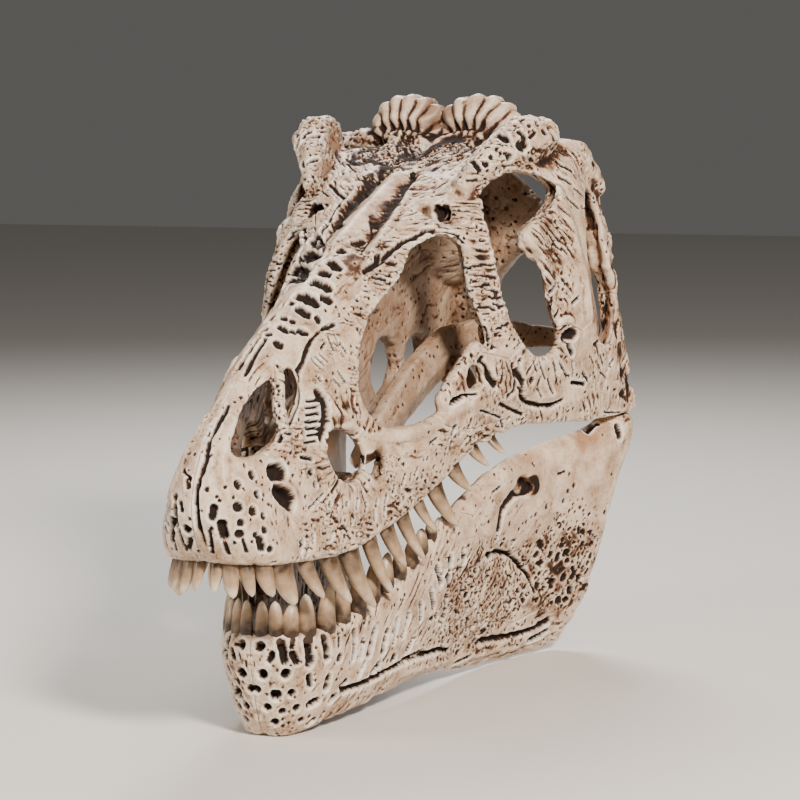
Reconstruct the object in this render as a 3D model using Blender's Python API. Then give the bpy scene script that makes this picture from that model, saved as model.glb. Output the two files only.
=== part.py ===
"""A cast skull replica of a large tyrannosaur, mouth slightly open, resting on its lower jaw.

The skull faces -Y and its left side is +X. Z is up from the surface that the lower jaw rests on.
Lengths in this file are millimetres, and place_vertex() turns them to metres with the origin
under the middle of the skull.
"""

import math

import bmesh
import bpy
from mathutils import Vector

MM = 0.001
MIDDLE_Y = 142.6        # what lies over the origin, in the file's own Y

# Driving dimensions
WALL = 8.0              # thickness of the cranium's shell
SUTURE = 0.45           # gap between neighbouring bones
TOUCH = 0.35            # gap where one piece rests against another
INNER_GAP = 0.8         # gap between the shell and the bones inside it
JAW_JOINT = 116.7       # height of the top of the lower jaw at its joint
PALATE = (100.0, 105.0)  # underside and top of the mouth's roof
SEPTUM = 4.0            # half-thickness of the wall between the eyes
WIDE = 130.0            # just past the widest bone
ABOVE = 310.0           # just past the highest bone

# The cranium's cross-sections, from the tooth margin at the snout to the back of the cheek.
# Each is an arch in a plane that fans from level, round the snout, to upright:
# (margin y, z), (crown y, z), half-width at the margin, half-width under the crown,
# bulge of the cheek, squareness of the arch, dip of the roof between its two ridges
SECTIONS = [
    ((30, 80.5), (-1, 85), 27.5, 24, 1, 2.8, 0),
    ((31, 80.5), (-8, 97), 28.0, 22, 2, 2.9, 0),
    ((33, 80.4), (-10, 110), 28.3, 20, 2, 3.0, 0),
    ((35, 80.3), (-6, 123), 28.5, 18, 1, 3.2, 0),
    ((38, 80.1), (5, 136), 28.6, 17, 0, 3.5, 0),
    ((42, 79.9), (20, 148), 28.6, 16, 0, 3.8, 0),
    ((52, 79.0), (45, 166), 29.5, 17, 0, 4.0, 0),
    ((75, 78.5), (78, 184), 32.0, 19, 1, 4.2, 1),
    ((110, 86), (112, 201), 37.5, 23, 4, 5.0, 2),
    ((145, 98.5), (148, 219), 43.5, 33, 10, 6.5, 5),
    ((173, 112), (181, 237), 49.5, 46, 14, 9.0, 9),
    ((205, 118), (214, 252), 60.0, 56, 14, 17.0, 11),
    ((235, 117), (240, 260), 71.0, 62, 12, 22.0, 9),
    ((262, 115.5), (260, 262), 79.0, 61, 10, 20.0, 5),
    ((298, 117.5), (290, 254), 88.0, 57, 4, 15.0, 2),
]

# Windows of the skull in side view: least distance from the midline that they reach, and a loose
# closed outline of (y, z)
WINDOWS = {
    "naris": (0, [(7, 128), (17, 139), (36, 152), (56, 158.5), (57, 149), (46, 138), (33, 130), (18, 125.5)]),
    "maxillary": (0, [(66, 121), (70, 131), (80, 130), (90, 122), (89, 112.5), (81, 106), (71, 110.5)]),
    "antorbital": (14, [
        (104, 167), (95.5, 152), (94.5, 139), (107, 127.5), (125, 127), (140, 131), (155, 145),
        (166.5, 157.5), (164, 172), (162, 184), (165, 195), (168.5, 205), (163, 209), (149, 203.5),
        (136, 192), (124, 183.5), (113, 176),
    ]),
    "orbit": (30, [
        (200, 234.5), (190, 226), (182.5, 214), (179, 200), (177.5, 186), (180, 174), (186, 164),
        (196, 156), (205, 151), (215, 151), (220, 157), (213.5, 169), (210, 183), (210, 192),
        (204, 199), (197, 207.5), (204, 212), (214, 217), (224, 222), (229, 228), (222, 235), (209, 236.5),
    ]),
    "infratemporal": (40, [
        (248, 216), (243, 194), (242, 177), (248, 163), (258, 154), (268, 151), (273, 160), (277, 171),
        (277, 181), (273, 190), (273, 202), (276, 214), (271, 225), (259, 228),
    ]),
}

# Small openings in side view: centre (y, z), radii
FORAMINA = {
    "promaxillary": ((99.5, 112.5), (5.5, 7.0)),
    "lacrimal": ((170, 218), (4.6, 5.0)),
    "jugal": ((162, 144.5), (6.5, 5.5)),
    "subnarial": ((28.5, 112), (2.6, 5.0)),
}
UPPER_TEMPORAL = ((33, 232), (12, 11))  # centre (x, y) and radii in top view
# The roof's rear edge in top view; what lies behind this line is open
REAR_NOTCH = [(-45, 330), (-45, 288), (-40, 275), (-22, 267), (22, 267), (40, 275), (45, 288), (45, 330)]

# Sutures in side view, each with the least distance from the midline that it reaches
SIDE_SUTURES = {
    "premaxilla_maxilla": (0, [(37, 70), (34, 84), (31, 95), (28, 108), (26, 118), (23, 131)]),
    "premaxilla_nasal": (0, [(33, 143), (31, 155), (24, 168)]),
    "nasal_rear": (0, [(52, 152), (64, 164), (82, 172), (101, 179), (117, 190), (131, 205), (139, 240)]),
    "maxilla_lacrimal": (0, [(119, 178), (116.5, 191)]),
    "maxilla_jugal": (0, [(131, 136), (141, 126), (156, 121), (176, 122), (195, 123), (206, 108)]),
    "lacrimal_jugal": (0, [(149, 155), (166, 156), (182, 152), (198, 163)]),
    "lacrimal_postorbital": (36, [(206, 230), (203, 246), (205, 280)]),
    "jugal_postorbital": (0, [(205, 161), (222, 166), (236, 161), (250, 169)]),
    "jugal_quadratojugal": (0, [(262, 160), (266, 142), (259, 128), (263, 100)]),
    "postorbital_squamosal": (40, [(264, 220), (266, 232), (259, 246), (262, 280)]),
    "squamosal_quadratojugal": (0, [(270, 179), (284, 174), (304, 178)]),
}
# The suture along each side of the roof in top view, as (x, y) of the left side
ROOF_SUTURE = [
    (8, 117), (13.5, 132), (21, 149), (30, 170), (38, 196), (44, 214), (48, 234), (48.5, 252), (47, 270), (45, 300),
]
ROOF_CUT_FLOOR = 186.0

# Where each bone of the shell lies: a point on its outer face
SHELL_BONES = {
    "premaxilla_left": (22, 10, 100),
    "premaxilla_right": (-22, 10, 100),
    "nasals": (0, 90, 190),
    "skull_roof": (0, 205, 240),
    "maxilla_left": (34, 80, 100),
    "maxilla_right": (-34, 80, 100),
    "lacrimal_left": (50, 168, 190),
    "lacrimal_right": (-50, 168, 190),
    "postorbital_left": (68, 235, 205),
    "postorbital_right": (-68, 235, 205),
    "squamosal_left": (75, 280, 215),
    "squamosal_right": (-75, 280, 215),
    "jugal_left": (70, 215, 135),
    "jugal_right": (-70, 215, 135),
    "quadratojugal_left": (86, 282, 140),
    "quadratojugal_right": (-86, 282, 140),
}

# One side of the lower jaw, from the chin's midline to the jaw joint, as upright sections:
# outer face (x, y), top z, bottom z, thickness, lean of the lower edge towards the midline
RAMUS = [
    ((TOUCH / 2, 37.5), 47.5, -1.2, 15, 12),
    ((8, 39), 47.5, -1.2, 15, 12),
    ((15.5, 43.5), 47.2, -1.4, 14.5, 12),
    ((22, 52), 46.5, -1.0, 13.5, 11),
    ((27.5, 67), 46.5, 1.5, 12.5, 9),
    ((33, 92), 51.5, 4, 12, 8),
    ((39, 122), 62, 6, 13, 10),
    ((46, 152), 81, 6.5, 13.5, 13),
    ((52, 182), 96, 1.0, 13.5, 16),
    ((58, 212), 104, -1.2, 13.5, 17),
    ((66.5, 240), 108.5, -1.4, 14, 16),
    ((72, 253), 110, 3, 14, 14),
    ((76.5, 264), JAW_JOINT - 4.4, 18, 14.5, 11),
    ((80.5, 273), JAW_JOINT - 1.1, 44, 15.5, 8),
    ((84, 282), JAW_JOINT - 0.6, 80, 17, 5),
    ((86.5, 291), JAW_JOINT, 97, 17, 3),
]
JAW_SUTURES = [
    [(143, 96), (156, 84), (172, 80), (182, 68), (191, 50), (188, 36), (197, 25), (184, 14), (168, 10), (150, -9)],
    [(188, 36), (197, 25), (222, 20), (246, 26), (262, 36), (300, 37)],
]
JAW_BONES = {"dentary": (40, 100, 30), "surangular": (60, 225, 70), "angular": (60, 230, 8)}
JAW_FORAMEN = ((214, 89), (5.5, 4.2))

# Teeth, each by its distance along the tooth margin from the midline:
# (distance, length of crown, how far the tip leans back, width along the jaw)
UPPER_TEETH = [
    (4.4, 13, 0, 5.6), (11.8, 15, 1, 7.2), (19.4, 14, 1.5, 6.6), (27.6, 14, 2.5, 8.6),
    (40.4, 18, 4, 12.5), (60, 17, 5, 9.2), (79, 22, 8, 10.4), (95.5, 28, 11, 11), (111.5, 28, 10, 8.6),
    (125.5, 20, 6, 9.2), (138.5, 23, 9, 8.4), (151.5, 16, 6, 7.4), (166, 21, 10, 10.4), (181.5, 13, 7, 9.8),
    (198.5, 10, 5, 8), (212.5, 8, 3, 6.4),
]
LOWER_TEETH = [
    (4.6, 13, 0, 6.2), (12.3, 13, 0, 7.0), (20.8, 12, 2, 8.6), (31, 15.5, 0, 9.2), (42.5, 18, 3, 9.8),
    (54.5, 17, 2, 9.2), (66, 15, 1, 9.2), (77.5, 15, 2, 8.8), (88.5, 14, 2, 8.4), (99, 12, 2, 8.2),
    (109, 9, 1, 7.6), (118.5, 8, 0.5, 7.2), (127, 6.5, 0.5, 6.6),
]
# Swellings on the shell, as rows of (x, y, z, radius) of the left side
RIDGES = {
    "brow": [(37, 182, 229, 5), (43, 196, 240, 8), (50, 212, 247, 11), (56, 226, 253, 12.5), (57, 240, 250, 8)],
    "corner": [(60, 250, 243, 7), (62, 262, 243, 10), (64, 275, 235, 9), (67, 284, 224, 6)],
    "crest": [(2, 255, 258, 6), (8, 254, 261, 10), (17, 254, 262, 12), (27, 256, 260, 12), (35, 258, 256, 8)],
}
# The back of the cheeks and roof in side view; what lies behind this line is open
REAR_EDGE = [
    (330, 295), (279, 295), (280, 268), (286, 255), (291, 240), (290, 215), (284, 190), (283, 168),
    (288, 145), (294, 120), (295, 90), (330, 90),
]

# Bones inside the shell. Limbs are rows of (x, y, z, radius)
BRAINCASE = [(0, 212, 222, 14), (0, 226, 214, 22), (0, 242, 208, 25), (0, 256, 202, 24), (0, 267, 196, 20)]
OCCIPUT_PLATE = (258, 268)               # front and rear of the plate behind the brain's case
CONDYLE = ((0, 274, 182), (9, 9, 8.5))   # the ball that the neck turns on
NERVE_HOLE = ((0, 271, 200), (7, 9, 7.5))
SEPTUM_OUTLINE = [
    (118, 196), (150, 208), (190, 228), (240, 240), (262, 210), (262, 170), (240, 156), (215, 136),
    (190, 126), (165, 124), (140, 132), (122, 150),
]
SEPTUM_HOLES = [((172, 147), (17, 14)), ((208, 150), (12, 9.5))]
OCCIPUT = [(0, 246), (24, 242), (40, 226), (54, 214), (54, 198), (38, 196), (26, 184), (19, 158), (10, 142), (0, 146)]
PALATE_HOLES = [((11, 90), (6, 24))]
PTERYGOID = [
    (24, 88, 112.5, 7), (24, 116, 122, 9), (21, 150, 136, 11), (20, 180, 146, 12), (22, 206, 155, 11),
    (31, 230, 158, 9), (45, 252, 156, 7), (56, 268, 154, 5),
]
FLANGE = [(22, 200, 150, 8), (33, 204, 130, 8), (40, 206, 112, 6)]
QUADRATE = [(65, 266, 226, 6), (66, 272, 205, 6.5), (67, 277, 170, 6), (68, 280, 140, 7), (69, 281, 118, 10), (69, 281, 106, 10)]

# Girth of a tooth from root to tip: (share of the crown's length, share of the width);
# a share below 0 lies in the bone
FANG_PROFILE = [(-1.0, 1.0), (0.55, 0.82), (1.0, 0.14)]
TOOTH_DEPTH = 0.78       # a tooth's thickness for its width
ROOT = 6.0              # how deep a tooth's root sits in the bone
PREMAXILLA_ENDS = 50.0  # distance along the tooth margin to the maxilla

BONE = (0.74, 0.64, 0.55)
CAVITY_BONE = (0.50, 0.37, 0.27)


# ---------------------------------------------------------------- tools


def place_vertex(point):
    return Vector((point[0], point[1] - MIDDLE_Y, point[2])) * MM


def material(name, colour, roughness):
    made = bpy.data.materials.new(name)
    made.use_nodes = True
    shader = made.node_tree.nodes["Principled BSDF"]
    shader.inputs["Base Color"].default_value = (*colour, 1.0)
    shader.inputs["Roughness"].default_value = roughness
    shader.inputs["Metallic"].default_value = 0.0
    return made


def catmull(rows, t):
    """The row at parameter t of a smooth curve through rows of numbers."""
    last = len(rows) - 1
    i = min(max(int(t), 0), last - 1)
    f = t - i
    p0, p1, p2, p3 = (rows[min(max(i + k, 0), last)] for k in (-1, 0, 1, 2))
    return [
        0.5 * (2 * b + (c - a) * f + (2 * a - 5 * b + 4 * c - d) * f**2 + (3 * b - a - 3 * c + d) * f**3)
        for a, b, c, d in zip(p0, p1, p2, p3)
    ]


def flat(rows):
    """Rows of nested numbers as rows of plain numbers."""
    return [[v for item in row for v in (item if isinstance(item, tuple) else (item,))] for row in rows]


def closed_curve(points, steps):
    """A closed outline with steps points on each span of a smooth curve through points."""
    n = len(points)
    rows = [points[(i - 1) % n] for i in range(n + 3)]
    return [catmull(rows, 1 + k / steps) for k in range(n * steps)]


def ellipse(centre, radii, corners=9):
    turn = 2 * math.pi / corners
    return [
        (centre[0] + radii[0] * math.cos(k * turn), centre[1] + radii[1] * math.sin(k * turn))
        for k in range(corners)
    ]


def new_object(name, bm, look=None):
    bmesh.ops.triangulate(bm, faces=bm.faces[:])
    mesh = bpy.data.meshes.new(name)
    bm.to_mesh(mesh)
    bm.free()
    made = bpy.data.objects.new(name, mesh)
    bpy.context.scene.collection.objects.link(made)
    if look:
        mesh.materials.append(look)
    return made


def combine(obj, other, operation):
    """Cuts other out of obj, joins it on or keeps what they share, and removes other."""
    boolean = obj.modifiers.new(operation, "BOOLEAN")
    boolean.operation = operation
    boolean.object = other
    boolean.solver = "EXACT"
    graph = bpy.context.evaluated_depsgraph_get()
    mesh = bpy.data.meshes.new_from_object(obj.evaluated_get(graph))
    obj.modifiers.clear()
    obj.data = mesh
    bpy.data.objects.remove(other)


def skin(name, rings, look=None):
    """A closed body through rings of points that have the same count, with its two ends capped."""
    bm = bmesh.new()
    loops = [[bm.verts.new(place_vertex(point)) for point in ring] for ring in rings]
    count = len(loops[0])
    for loop, following in zip(loops, loops[1:]):
        for k in range(count):
            after = (k + 1) % count
            bm.faces.new((loop[k], loop[after], following[after], following[k]))
    bm.faces.new(loops[0])
    bm.faces.new(loops[-1])
    bmesh.ops.recalc_face_normals(bm, faces=bm.faces[:])
    return new_object(name, bm, look)


def across(outline, low, high):
    """A prism with an outline in side view, (y, z), from x low to x high."""
    return skin("prism", [[(x, y, z) for y, z in outline] for x in (low, high)])


def down(outline, low, high):
    """A prism with an outline in top view, (x, y), from z low to z high."""
    return skin("prism", [[(x, y, z) for x, y in outline] for z in (low, high)])


def along(outline, low, high):
    """A prism with an outline in front view, (x, z), from y low to y high."""
    return skin("prism", [[(x, y, z) for x, z in outline] for y in (low, high)])


def band(points, width=SUTURE):
    """The outline of a band of this width along an open line of points."""
    left, right = [], []
    for i, point in enumerate(points):
        run = Vector(points[min(i + 1, len(points) - 1)]) - Vector(points[max(i - 1, 0)])
        normal = Vector((-run.y, run.x)).normalized() * (width / 2)
        left.append(tuple(Vector(point) + normal))
        right.append(tuple(Vector(point) - normal))
    return left + right[::-1]


def limb(name, points, corners=6, look=None, squash=1.0):
    """A bone that follows points of (x, y, z, radius), flattened across its run by squash."""
    steps = len(points) + 1
    rows = [catmull(points, k * (len(points) - 1) / steps) for k in range(steps + 1)]
    rings = []
    for i, row in enumerate(rows):
        run = (Vector(rows[min(i + 1, steps)][:3]) - Vector(rows[max(i - 1, 0)][:3])).normalized()
        side = run.cross(Vector((0, 0, 1)) if abs(run.z) < 0.9 else Vector((0, 1, 0))).normalized()
        rise = side.cross(run)
        turn = 2 * math.pi / corners
        rings.append([
            Vector(row[:3]) + side * (row[3] * squash * math.cos(k * turn)) + rise * (row[3] * math.sin(k * turn))
            for k in range(corners)
        ])
    return skin(name, rings, look)


def ball(centre, radii, segments=10, rings=6):
    bm = bmesh.new()
    bmesh.ops.create_uvsphere(bm, u_segments=segments, v_segments=rings, radius=1.0)
    for vert in bm.verts:
        vert.co = place_vertex([c + r * v for c, r, v in zip(centre, radii, vert.co)])
    return new_object("ball", bm)


def tidied(obj, angle=4.5):
    """Merges faces that lie within a few degrees of each other and splits the result into triangles."""
    bm = bmesh.new()
    bm.from_mesh(obj.data)
    bmesh.ops.remove_doubles(bm, verts=bm.verts[:], dist=0.02 * MM)
    bmesh.ops.dissolve_limit(bm, angle_limit=math.radians(angle), verts=bm.verts[:], edges=bm.edges[:])
    bmesh.ops.triangulate(bm, faces=bm.faces[:])
    bm.to_mesh(obj.data)
    bm.free()


def mirrored(obj, name):
    """A copy of obj on the other side of the skull."""
    bm = bmesh.new()
    bm.from_mesh(obj.data)
    bmesh.ops.scale(bm, vec=(-1, 1, 1), verts=bm.verts)
    bmesh.ops.reverse_faces(bm, faces=bm.faces[:])
    return new_object(name, bm, obj.data.materials[0] if obj.data.materials else None)


def loose_parts(obj):
    """Splits obj into its separate bodies and removes it."""
    bm = bmesh.new()
    bm.from_mesh(obj.data)
    left, groups = set(bm.verts), []
    while left:
        found, edge = set(), [next(iter(left))]
        while edge:
            vert = edge.pop()
            if vert not in found:
                found.add(vert)
                edge += [e.other_vert(vert) for e in vert.link_edges]
        left -= found
        groups.append({v.index for v in found})
    parts = []
    for group in groups:
        part = bmesh.new()
        part.from_mesh(obj.data)
        bmesh.ops.delete(part, geom=[v for v in part.verts if v.index not in group], context="VERTS")
        parts.append(new_object("part", part))
    bm.free()
    bpy.data.objects.remove(obj)
    return parts


def name_parts(parts, seeds, look):
    """Gives each part the name of the seed point that lies on it, and removes crumbs."""
    found = {}
    for name, seed in seeds.items():
        point = place_vertex(seed)
        free = [p for p in parts if p not in found.values()]
        found[name] = min(free, key=lambda p: (p.closest_point_on_mesh(point)[1] - point).length)
    for part in parts:
        if part not in found.values():
            bpy.data.objects.remove(part)
    for name, part in found.items():
        part.name = name
        part.data.materials.clear()
        part.data.materials.append(look)
    return found


# ---------------------------------------------------------------- cranium


def arch(row, steps):
    """The points of one cross-section, from the right tooth margin over the crown to the left."""
    margin_y, margin_z, crown_y, crown_z, wide, narrow, bulge, square, dip = row
    points = []
    for k in range(steps + 1):
        around = 2 * k / steps - 1
        rise = math.cos(around * math.pi / 2)
        reach = wide + (narrow - wide) * rise + bulge * math.sin(math.pi * rise)
        x = reach * math.sqrt(max(0.0, 1 - rise**square))
        fall = dip * max(0.0, 1 - (x / (0.82 * narrow)) ** 2) ** 2 if rise > 0.8 else 0.0
        points.append((
            math.copysign(x, around),
            margin_y + (crown_y - margin_y) * rise,
            margin_z + (crown_z - margin_z) * rise - fall,
        ))
    return points


def cranium_solid():
    """The outer shape of the cranium, closed across the mouth."""
    rows, steps = flat(SECTIONS), 25
    return skin("cranium", [arch(catmull(rows, k * (len(rows) - 1) / steps), 18) for k in range(steps + 1)])


def cavity(inset):
    """The space inside the cranium, open below and behind, this far in from its outer face."""
    rows = []
    for i, (margin, crown, wide, narrow, bulge, square, dip) in enumerate(SECTIONS):
        before = Vector(SECTIONS[max(i - 1, 0)][1])
        after = Vector(SECTIONS[min(i + 1, len(SECTIONS) - 1)][1])
        run = (after - before).normalized()
        inner_crown = Vector(crown) + Vector((run.y, -run.x)) * inset
        rows.append([
            margin[0], margin[1] - 30, inner_crown.x, inner_crown.y, wide - inset - 3, narrow - inset + 2,
            bulge + 1, 1.3 * square, dip,
        ])
    below = list(rows[0])
    below[1] -= 10
    below[3] -= 45
    behind = list(rows[-1])
    behind[0] += 30
    behind[2] += 30
    rows = [below] + rows + [behind]
    steps = 16
    return skin("cavity", [arch(catmull(rows, k * (len(rows) - 1) / steps), 14) for k in range(steps + 1)])


def cut_both_sides(shell, outline, least_x):
    """Cuts an outline in side view through both cheeks, but not nearer the midline than least_x."""
    if least_x == 0:
        combine(shell, across(outline, -WIDE, WIDE), "DIFFERENCE")
    else:
        combine(shell, across(outline, -WIDE, -least_x), "DIFFERENCE")
        combine(shell, across(outline, least_x, WIDE), "DIFFERENCE")


def make_shell():
    shell = cranium_solid()
    for side in (-1, 1):
        for points in RIDGES.values():
            placed = [(side * x, y, z, radius) for x, y, z, radius in points]
            combine(shell, limb("ridge", placed), "UNION")
    combine(shell, cavity(WALL), "DIFFERENCE")
    for least_x, outline in WINDOWS.values():
        cut_both_sides(shell, closed_curve(outline, 2), least_x)
    for centre, radii in FORAMINA.values():
        cut_both_sides(shell, ellipse(centre, radii), 22)
    combine(shell, across(REAR_EDGE, -WIDE, WIDE), "DIFFERENCE")
    combine(shell, down(REAR_NOTCH, 215, ABOVE), "DIFFERENCE")
    (x, y), radii = UPPER_TEMPORAL
    for side in (-1, 1):
        combine(shell, down(ellipse((side * x, y), radii), 200, ABOVE), "DIFFERENCE")
    for least_x, line in SIDE_SUTURES.values():
        cut_both_sides(shell, band(line), least_x)
    for side in (-1, 1):
        placed = [(side * x, y) for x, y in ROOF_SUTURE]
        combine(shell, down(band(placed), ROOF_CUT_FLOOR, ABOVE), "DIFFERENCE")
    combine(shell, down(band([(0, -20), (0, 32.5)]), 70, 200), "DIFFERENCE")
    return shell


def fit_inside(obj):
    """Trims a body so that it rests against the inside of the shell."""
    combine(obj, cavity(WALL + INNER_GAP), "INTERSECT")


def make_braincase(look):
    """The brain's case with the wall between the eyes, the back of the skull and its neck joint."""
    case = limb("braincase", BRAINCASE, corners=10, squash=0.95)
    septum = across(SEPTUM_OUTLINE, -SEPTUM, SEPTUM)
    for centre, radii in SEPTUM_HOLES:
        combine(septum, across(ellipse(centre, radii), -2 * SEPTUM, 2 * SEPTUM), "DIFFERENCE")
    combine(case, septum, "UNION")
    outline = OCCIPUT + [(-x, z) for x, z in OCCIPUT[::-1] if x > 0]
    combine(case, along(outline, *OCCIPUT_PLATE), "UNION")
    combine(case, ball(*CONDYLE), "UNION")
    combine(case, ball(*NERVE_HOLE), "DIFFERENCE")
    fit_inside(case)
    tidied(case, 9.0)
    case.data.materials.clear()
    case.data.materials.append(look)
    return case


def make_palate(look):
    palate = down([(-70, 12), (70, 12), (70, 122), (-70, 122)], *PALATE)
    for centre, radii in PALATE_HOLES:
        for side in (-1, 1):
            hole = ellipse((side * centre[0], centre[1]), radii)
            combine(palate, down(hole, PALATE[0] - 5, PALATE[1] + 5), "DIFFERENCE")
    fit_inside(palate)
    tidied(palate)
    palate.name = "palate"
    palate.data.materials.clear()
    palate.data.materials.append(look)
    return palate


def make_inner_pairs(look):
    """The bars over the mouth and the struts down to the jaw joint."""
    pterygoid = limb("pterygoid_left", PTERYGOID, squash=0.5)
    combine(pterygoid, limb("flange", FLANGE, squash=0.7), "UNION")
    quadrate = limb("quadrate_left", QUADRATE)
    box = [(40, 240), (110, 240), (110, 320), (40, 320)]
    combine(quadrate, down(box, 80, JAW_JOINT + TOUCH), "DIFFERENCE")
    for piece in (pterygoid, quadrate):
        fit_inside(piece)
        tidied(piece)
        piece.data.materials.clear()
        piece.data.materials.append(look)
        mirrored(piece, piece.name.replace("left", "right"))


# ---------------------------------------------------------------- teeth


def follow(line, distance):
    """The point and the level run of a line at this distance along it, seen from above."""
    for start, end in zip(line, line[1:]):
        run = Vector((end[0] - start[0], end[1] - start[1]))
        if distance <= run.length or end is line[-1]:
            part = distance / run.length
            return Vector(start).lerp(Vector(end), part), run.normalized().to_3d()
        distance -= run.length


def fang(line, tooth, up, inset_root, inset_tip):
    """A tooth that grows from a margin line; up is 1 for the lower jaw and -1 for the upper."""
    distance, length, lean, width = tooth
    point, run = follow(line, distance)
    inward = Vector((-run.y, run.x, 0))
    corners, rings = 5, []
    for share, girth in FANG_PROFILE:
        height = share * length if share >= 0 else share * ROOT
        out = max(share, 0.0)
        centre = point + inward * (inset_root + (inset_tip - inset_root) * out) + run * (lean * out**1.6)
        centre.z += up * height
        turn = 2 * math.pi / corners
        rings.append([
            centre
            + run * (0.5 * width * girth * math.cos(k * turn))
            + inward * (0.5 * TOOTH_DEPTH * width * girth * math.sin(k * turn))
            for k in range(corners)
        ])
    return skin("fang", rings)


def upper_margin():
    """The outer edge of the upper jaw, from the midline of the snout back along the left side."""
    front = [point for point in arch(flat(SECTIONS)[0], 48) if point[0] >= 0]
    side = [(section[2], *section[0]) for section in SECTIONS[1:]]
    return [Vector(point) for point in front + side]


def lower_margin():
    return [Vector((*row[0], row[1])) for row in RAMUS]


def add_upper_teeth(bones):
    line = upper_margin()
    for tooth in UPPER_TEETH:
        bone = "premaxilla_left" if tooth[0] < PREMAXILLA_ENDS else "maxilla_left"
        combine(bones[bone], fang(line, tooth, -1, 5.5, 2.5 - 0.2 * tooth[1]), "UNION")


# ---------------------------------------------------------------- lower jaw


def ramus():
    rows, steps, corners = flat(RAMUS), 22, 10
    rings = []
    for i in range(steps + 1):
        t = i * (len(rows) - 1) / steps
        x, y, top, bottom, thick, lean = catmull(rows, t)
        ahead = catmull(rows, min(t + 0.05, len(rows) - 1))
        behind = catmull(rows, max(t - 0.05, 0.0))
        run = Vector((ahead[0] - behind[0], ahead[1] - behind[1]))
        inward = Vector((-run.y, run.x)).normalized() if i else Vector((0, 1))
        ring = []
        for k in range(corners):
            angle = 2 * math.pi * (k + 0.5) / corners
            across_share = math.copysign(abs(math.cos(angle)) ** 0.55, math.cos(angle))
            up_share = math.copysign(abs(math.sin(angle)) ** 0.6, math.sin(angle))
            lower = (1 - up_share) / 2
            depth = thick * (1 - 0.5 * lower) * (0.5 - 0.5 * across_share) + lean * lower**1.7
            ring.append((
                x + inward.x * depth,
                y + inward.y * depth,
                (top + bottom) / 2 + up_share * (top - bottom) / 2,
            ))
        rings.append(ring)
    return skin("ramus", rings)


def make_lower_jaw(look):
    jaw = ramus()
    below = [(-WIDE, -50), (WIDE, -50), (WIDE, 350), (-WIDE, 350)]
    combine(jaw, down(below, -40, 0), "DIFFERENCE")
    combine(jaw, down(below, JAW_JOINT, 200), "DIFFERENCE")
    combine(jaw, across(ellipse(*JAW_FORAMEN), 0, WIDE), "DIFFERENCE")
    for line in JAW_SUTURES:
        combine(jaw, across(band(line), 0, WIDE), "DIFFERENCE")
    seeds = {f"{name}_left": seed for name, seed in JAW_BONES.items()}
    bones = name_parts(loose_parts(jaw), seeds, look)
    line = lower_margin()
    for tooth in LOWER_TEETH:
        combine(bones["dentary_left"], fang(line, tooth, 1, 5.5, 6.0), "UNION")
    for name, bone in bones.items():
        tidied(bone)
        mirrored(bone, name.replace("left", "right"))


def main():
    for obj in list(bpy.data.objects):
        bpy.data.objects.remove(obj)
    bone = material("cast_bone", BONE, 0.55)
    inner_bone = material("inner_bone", CAVITY_BONE, 0.6)
    bones = name_parts(loose_parts(make_shell()), SHELL_BONES, bone)
    add_upper_teeth(bones)
    for part in bones.values():
        tidied(part)
    for name in [name for name in bones if name.endswith("left")]:
        other = name.replace("left", "right")
        bpy.data.objects.remove(bones[other])
        mirrored(bones[name], other)
    make_braincase(inner_bone)
    make_palate(inner_bone)
    make_inner_pairs(inner_bone)
    make_lower_jaw(bone)


main()
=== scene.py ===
# Cast resin skull of a large meat-eating dinosaur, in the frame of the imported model.
import math
import bpy
import bmesh
import numpy as np
import openvdb as vdb
from mathutils import Matrix, Vector
from mathutils.bvhtree import BVHTree


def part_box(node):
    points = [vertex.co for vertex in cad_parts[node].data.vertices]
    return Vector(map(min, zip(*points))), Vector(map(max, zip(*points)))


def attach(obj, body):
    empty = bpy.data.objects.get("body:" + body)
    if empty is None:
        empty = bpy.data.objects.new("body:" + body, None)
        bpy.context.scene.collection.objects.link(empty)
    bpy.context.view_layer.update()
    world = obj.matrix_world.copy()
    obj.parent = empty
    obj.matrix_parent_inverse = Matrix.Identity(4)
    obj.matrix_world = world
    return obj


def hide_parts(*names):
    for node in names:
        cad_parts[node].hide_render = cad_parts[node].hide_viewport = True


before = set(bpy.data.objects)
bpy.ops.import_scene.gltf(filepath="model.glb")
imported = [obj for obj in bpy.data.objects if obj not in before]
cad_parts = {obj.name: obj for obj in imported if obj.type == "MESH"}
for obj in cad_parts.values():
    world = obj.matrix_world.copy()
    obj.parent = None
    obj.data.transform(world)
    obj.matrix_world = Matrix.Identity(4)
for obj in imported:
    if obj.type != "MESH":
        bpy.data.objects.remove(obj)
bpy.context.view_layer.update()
print("frame loaded")

middleY = 142.6    # mm from the model's own zero to the frame's zero, along the skull
# mm to a voxel, voxels on each side of a surface, voxels kept past the midline, and mm kept about a group
grid = {"step": 0.66, "band": 8, "mirrorAt": 12, "margin": 6}
step = grid["step"]


# numbers in space: noise that is the same at every run
def lattice(ix, iy, iz, seed):    # one repeatable random number for each lattice corner
    n = (ix * 374761393 + iy * 668265263 + iz * 1440662683 + seed * 1274126177) & 0xffffffff
    n = ((n ^ (n >> 13)) * 1274126177) & 0xffffffff
    n = ((n ^ (n >> 15)) * 2246822519) & 0xffffffff
    return ((n ^ (n >> 16)) & 0xfffff) / 1048575.0


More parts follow.
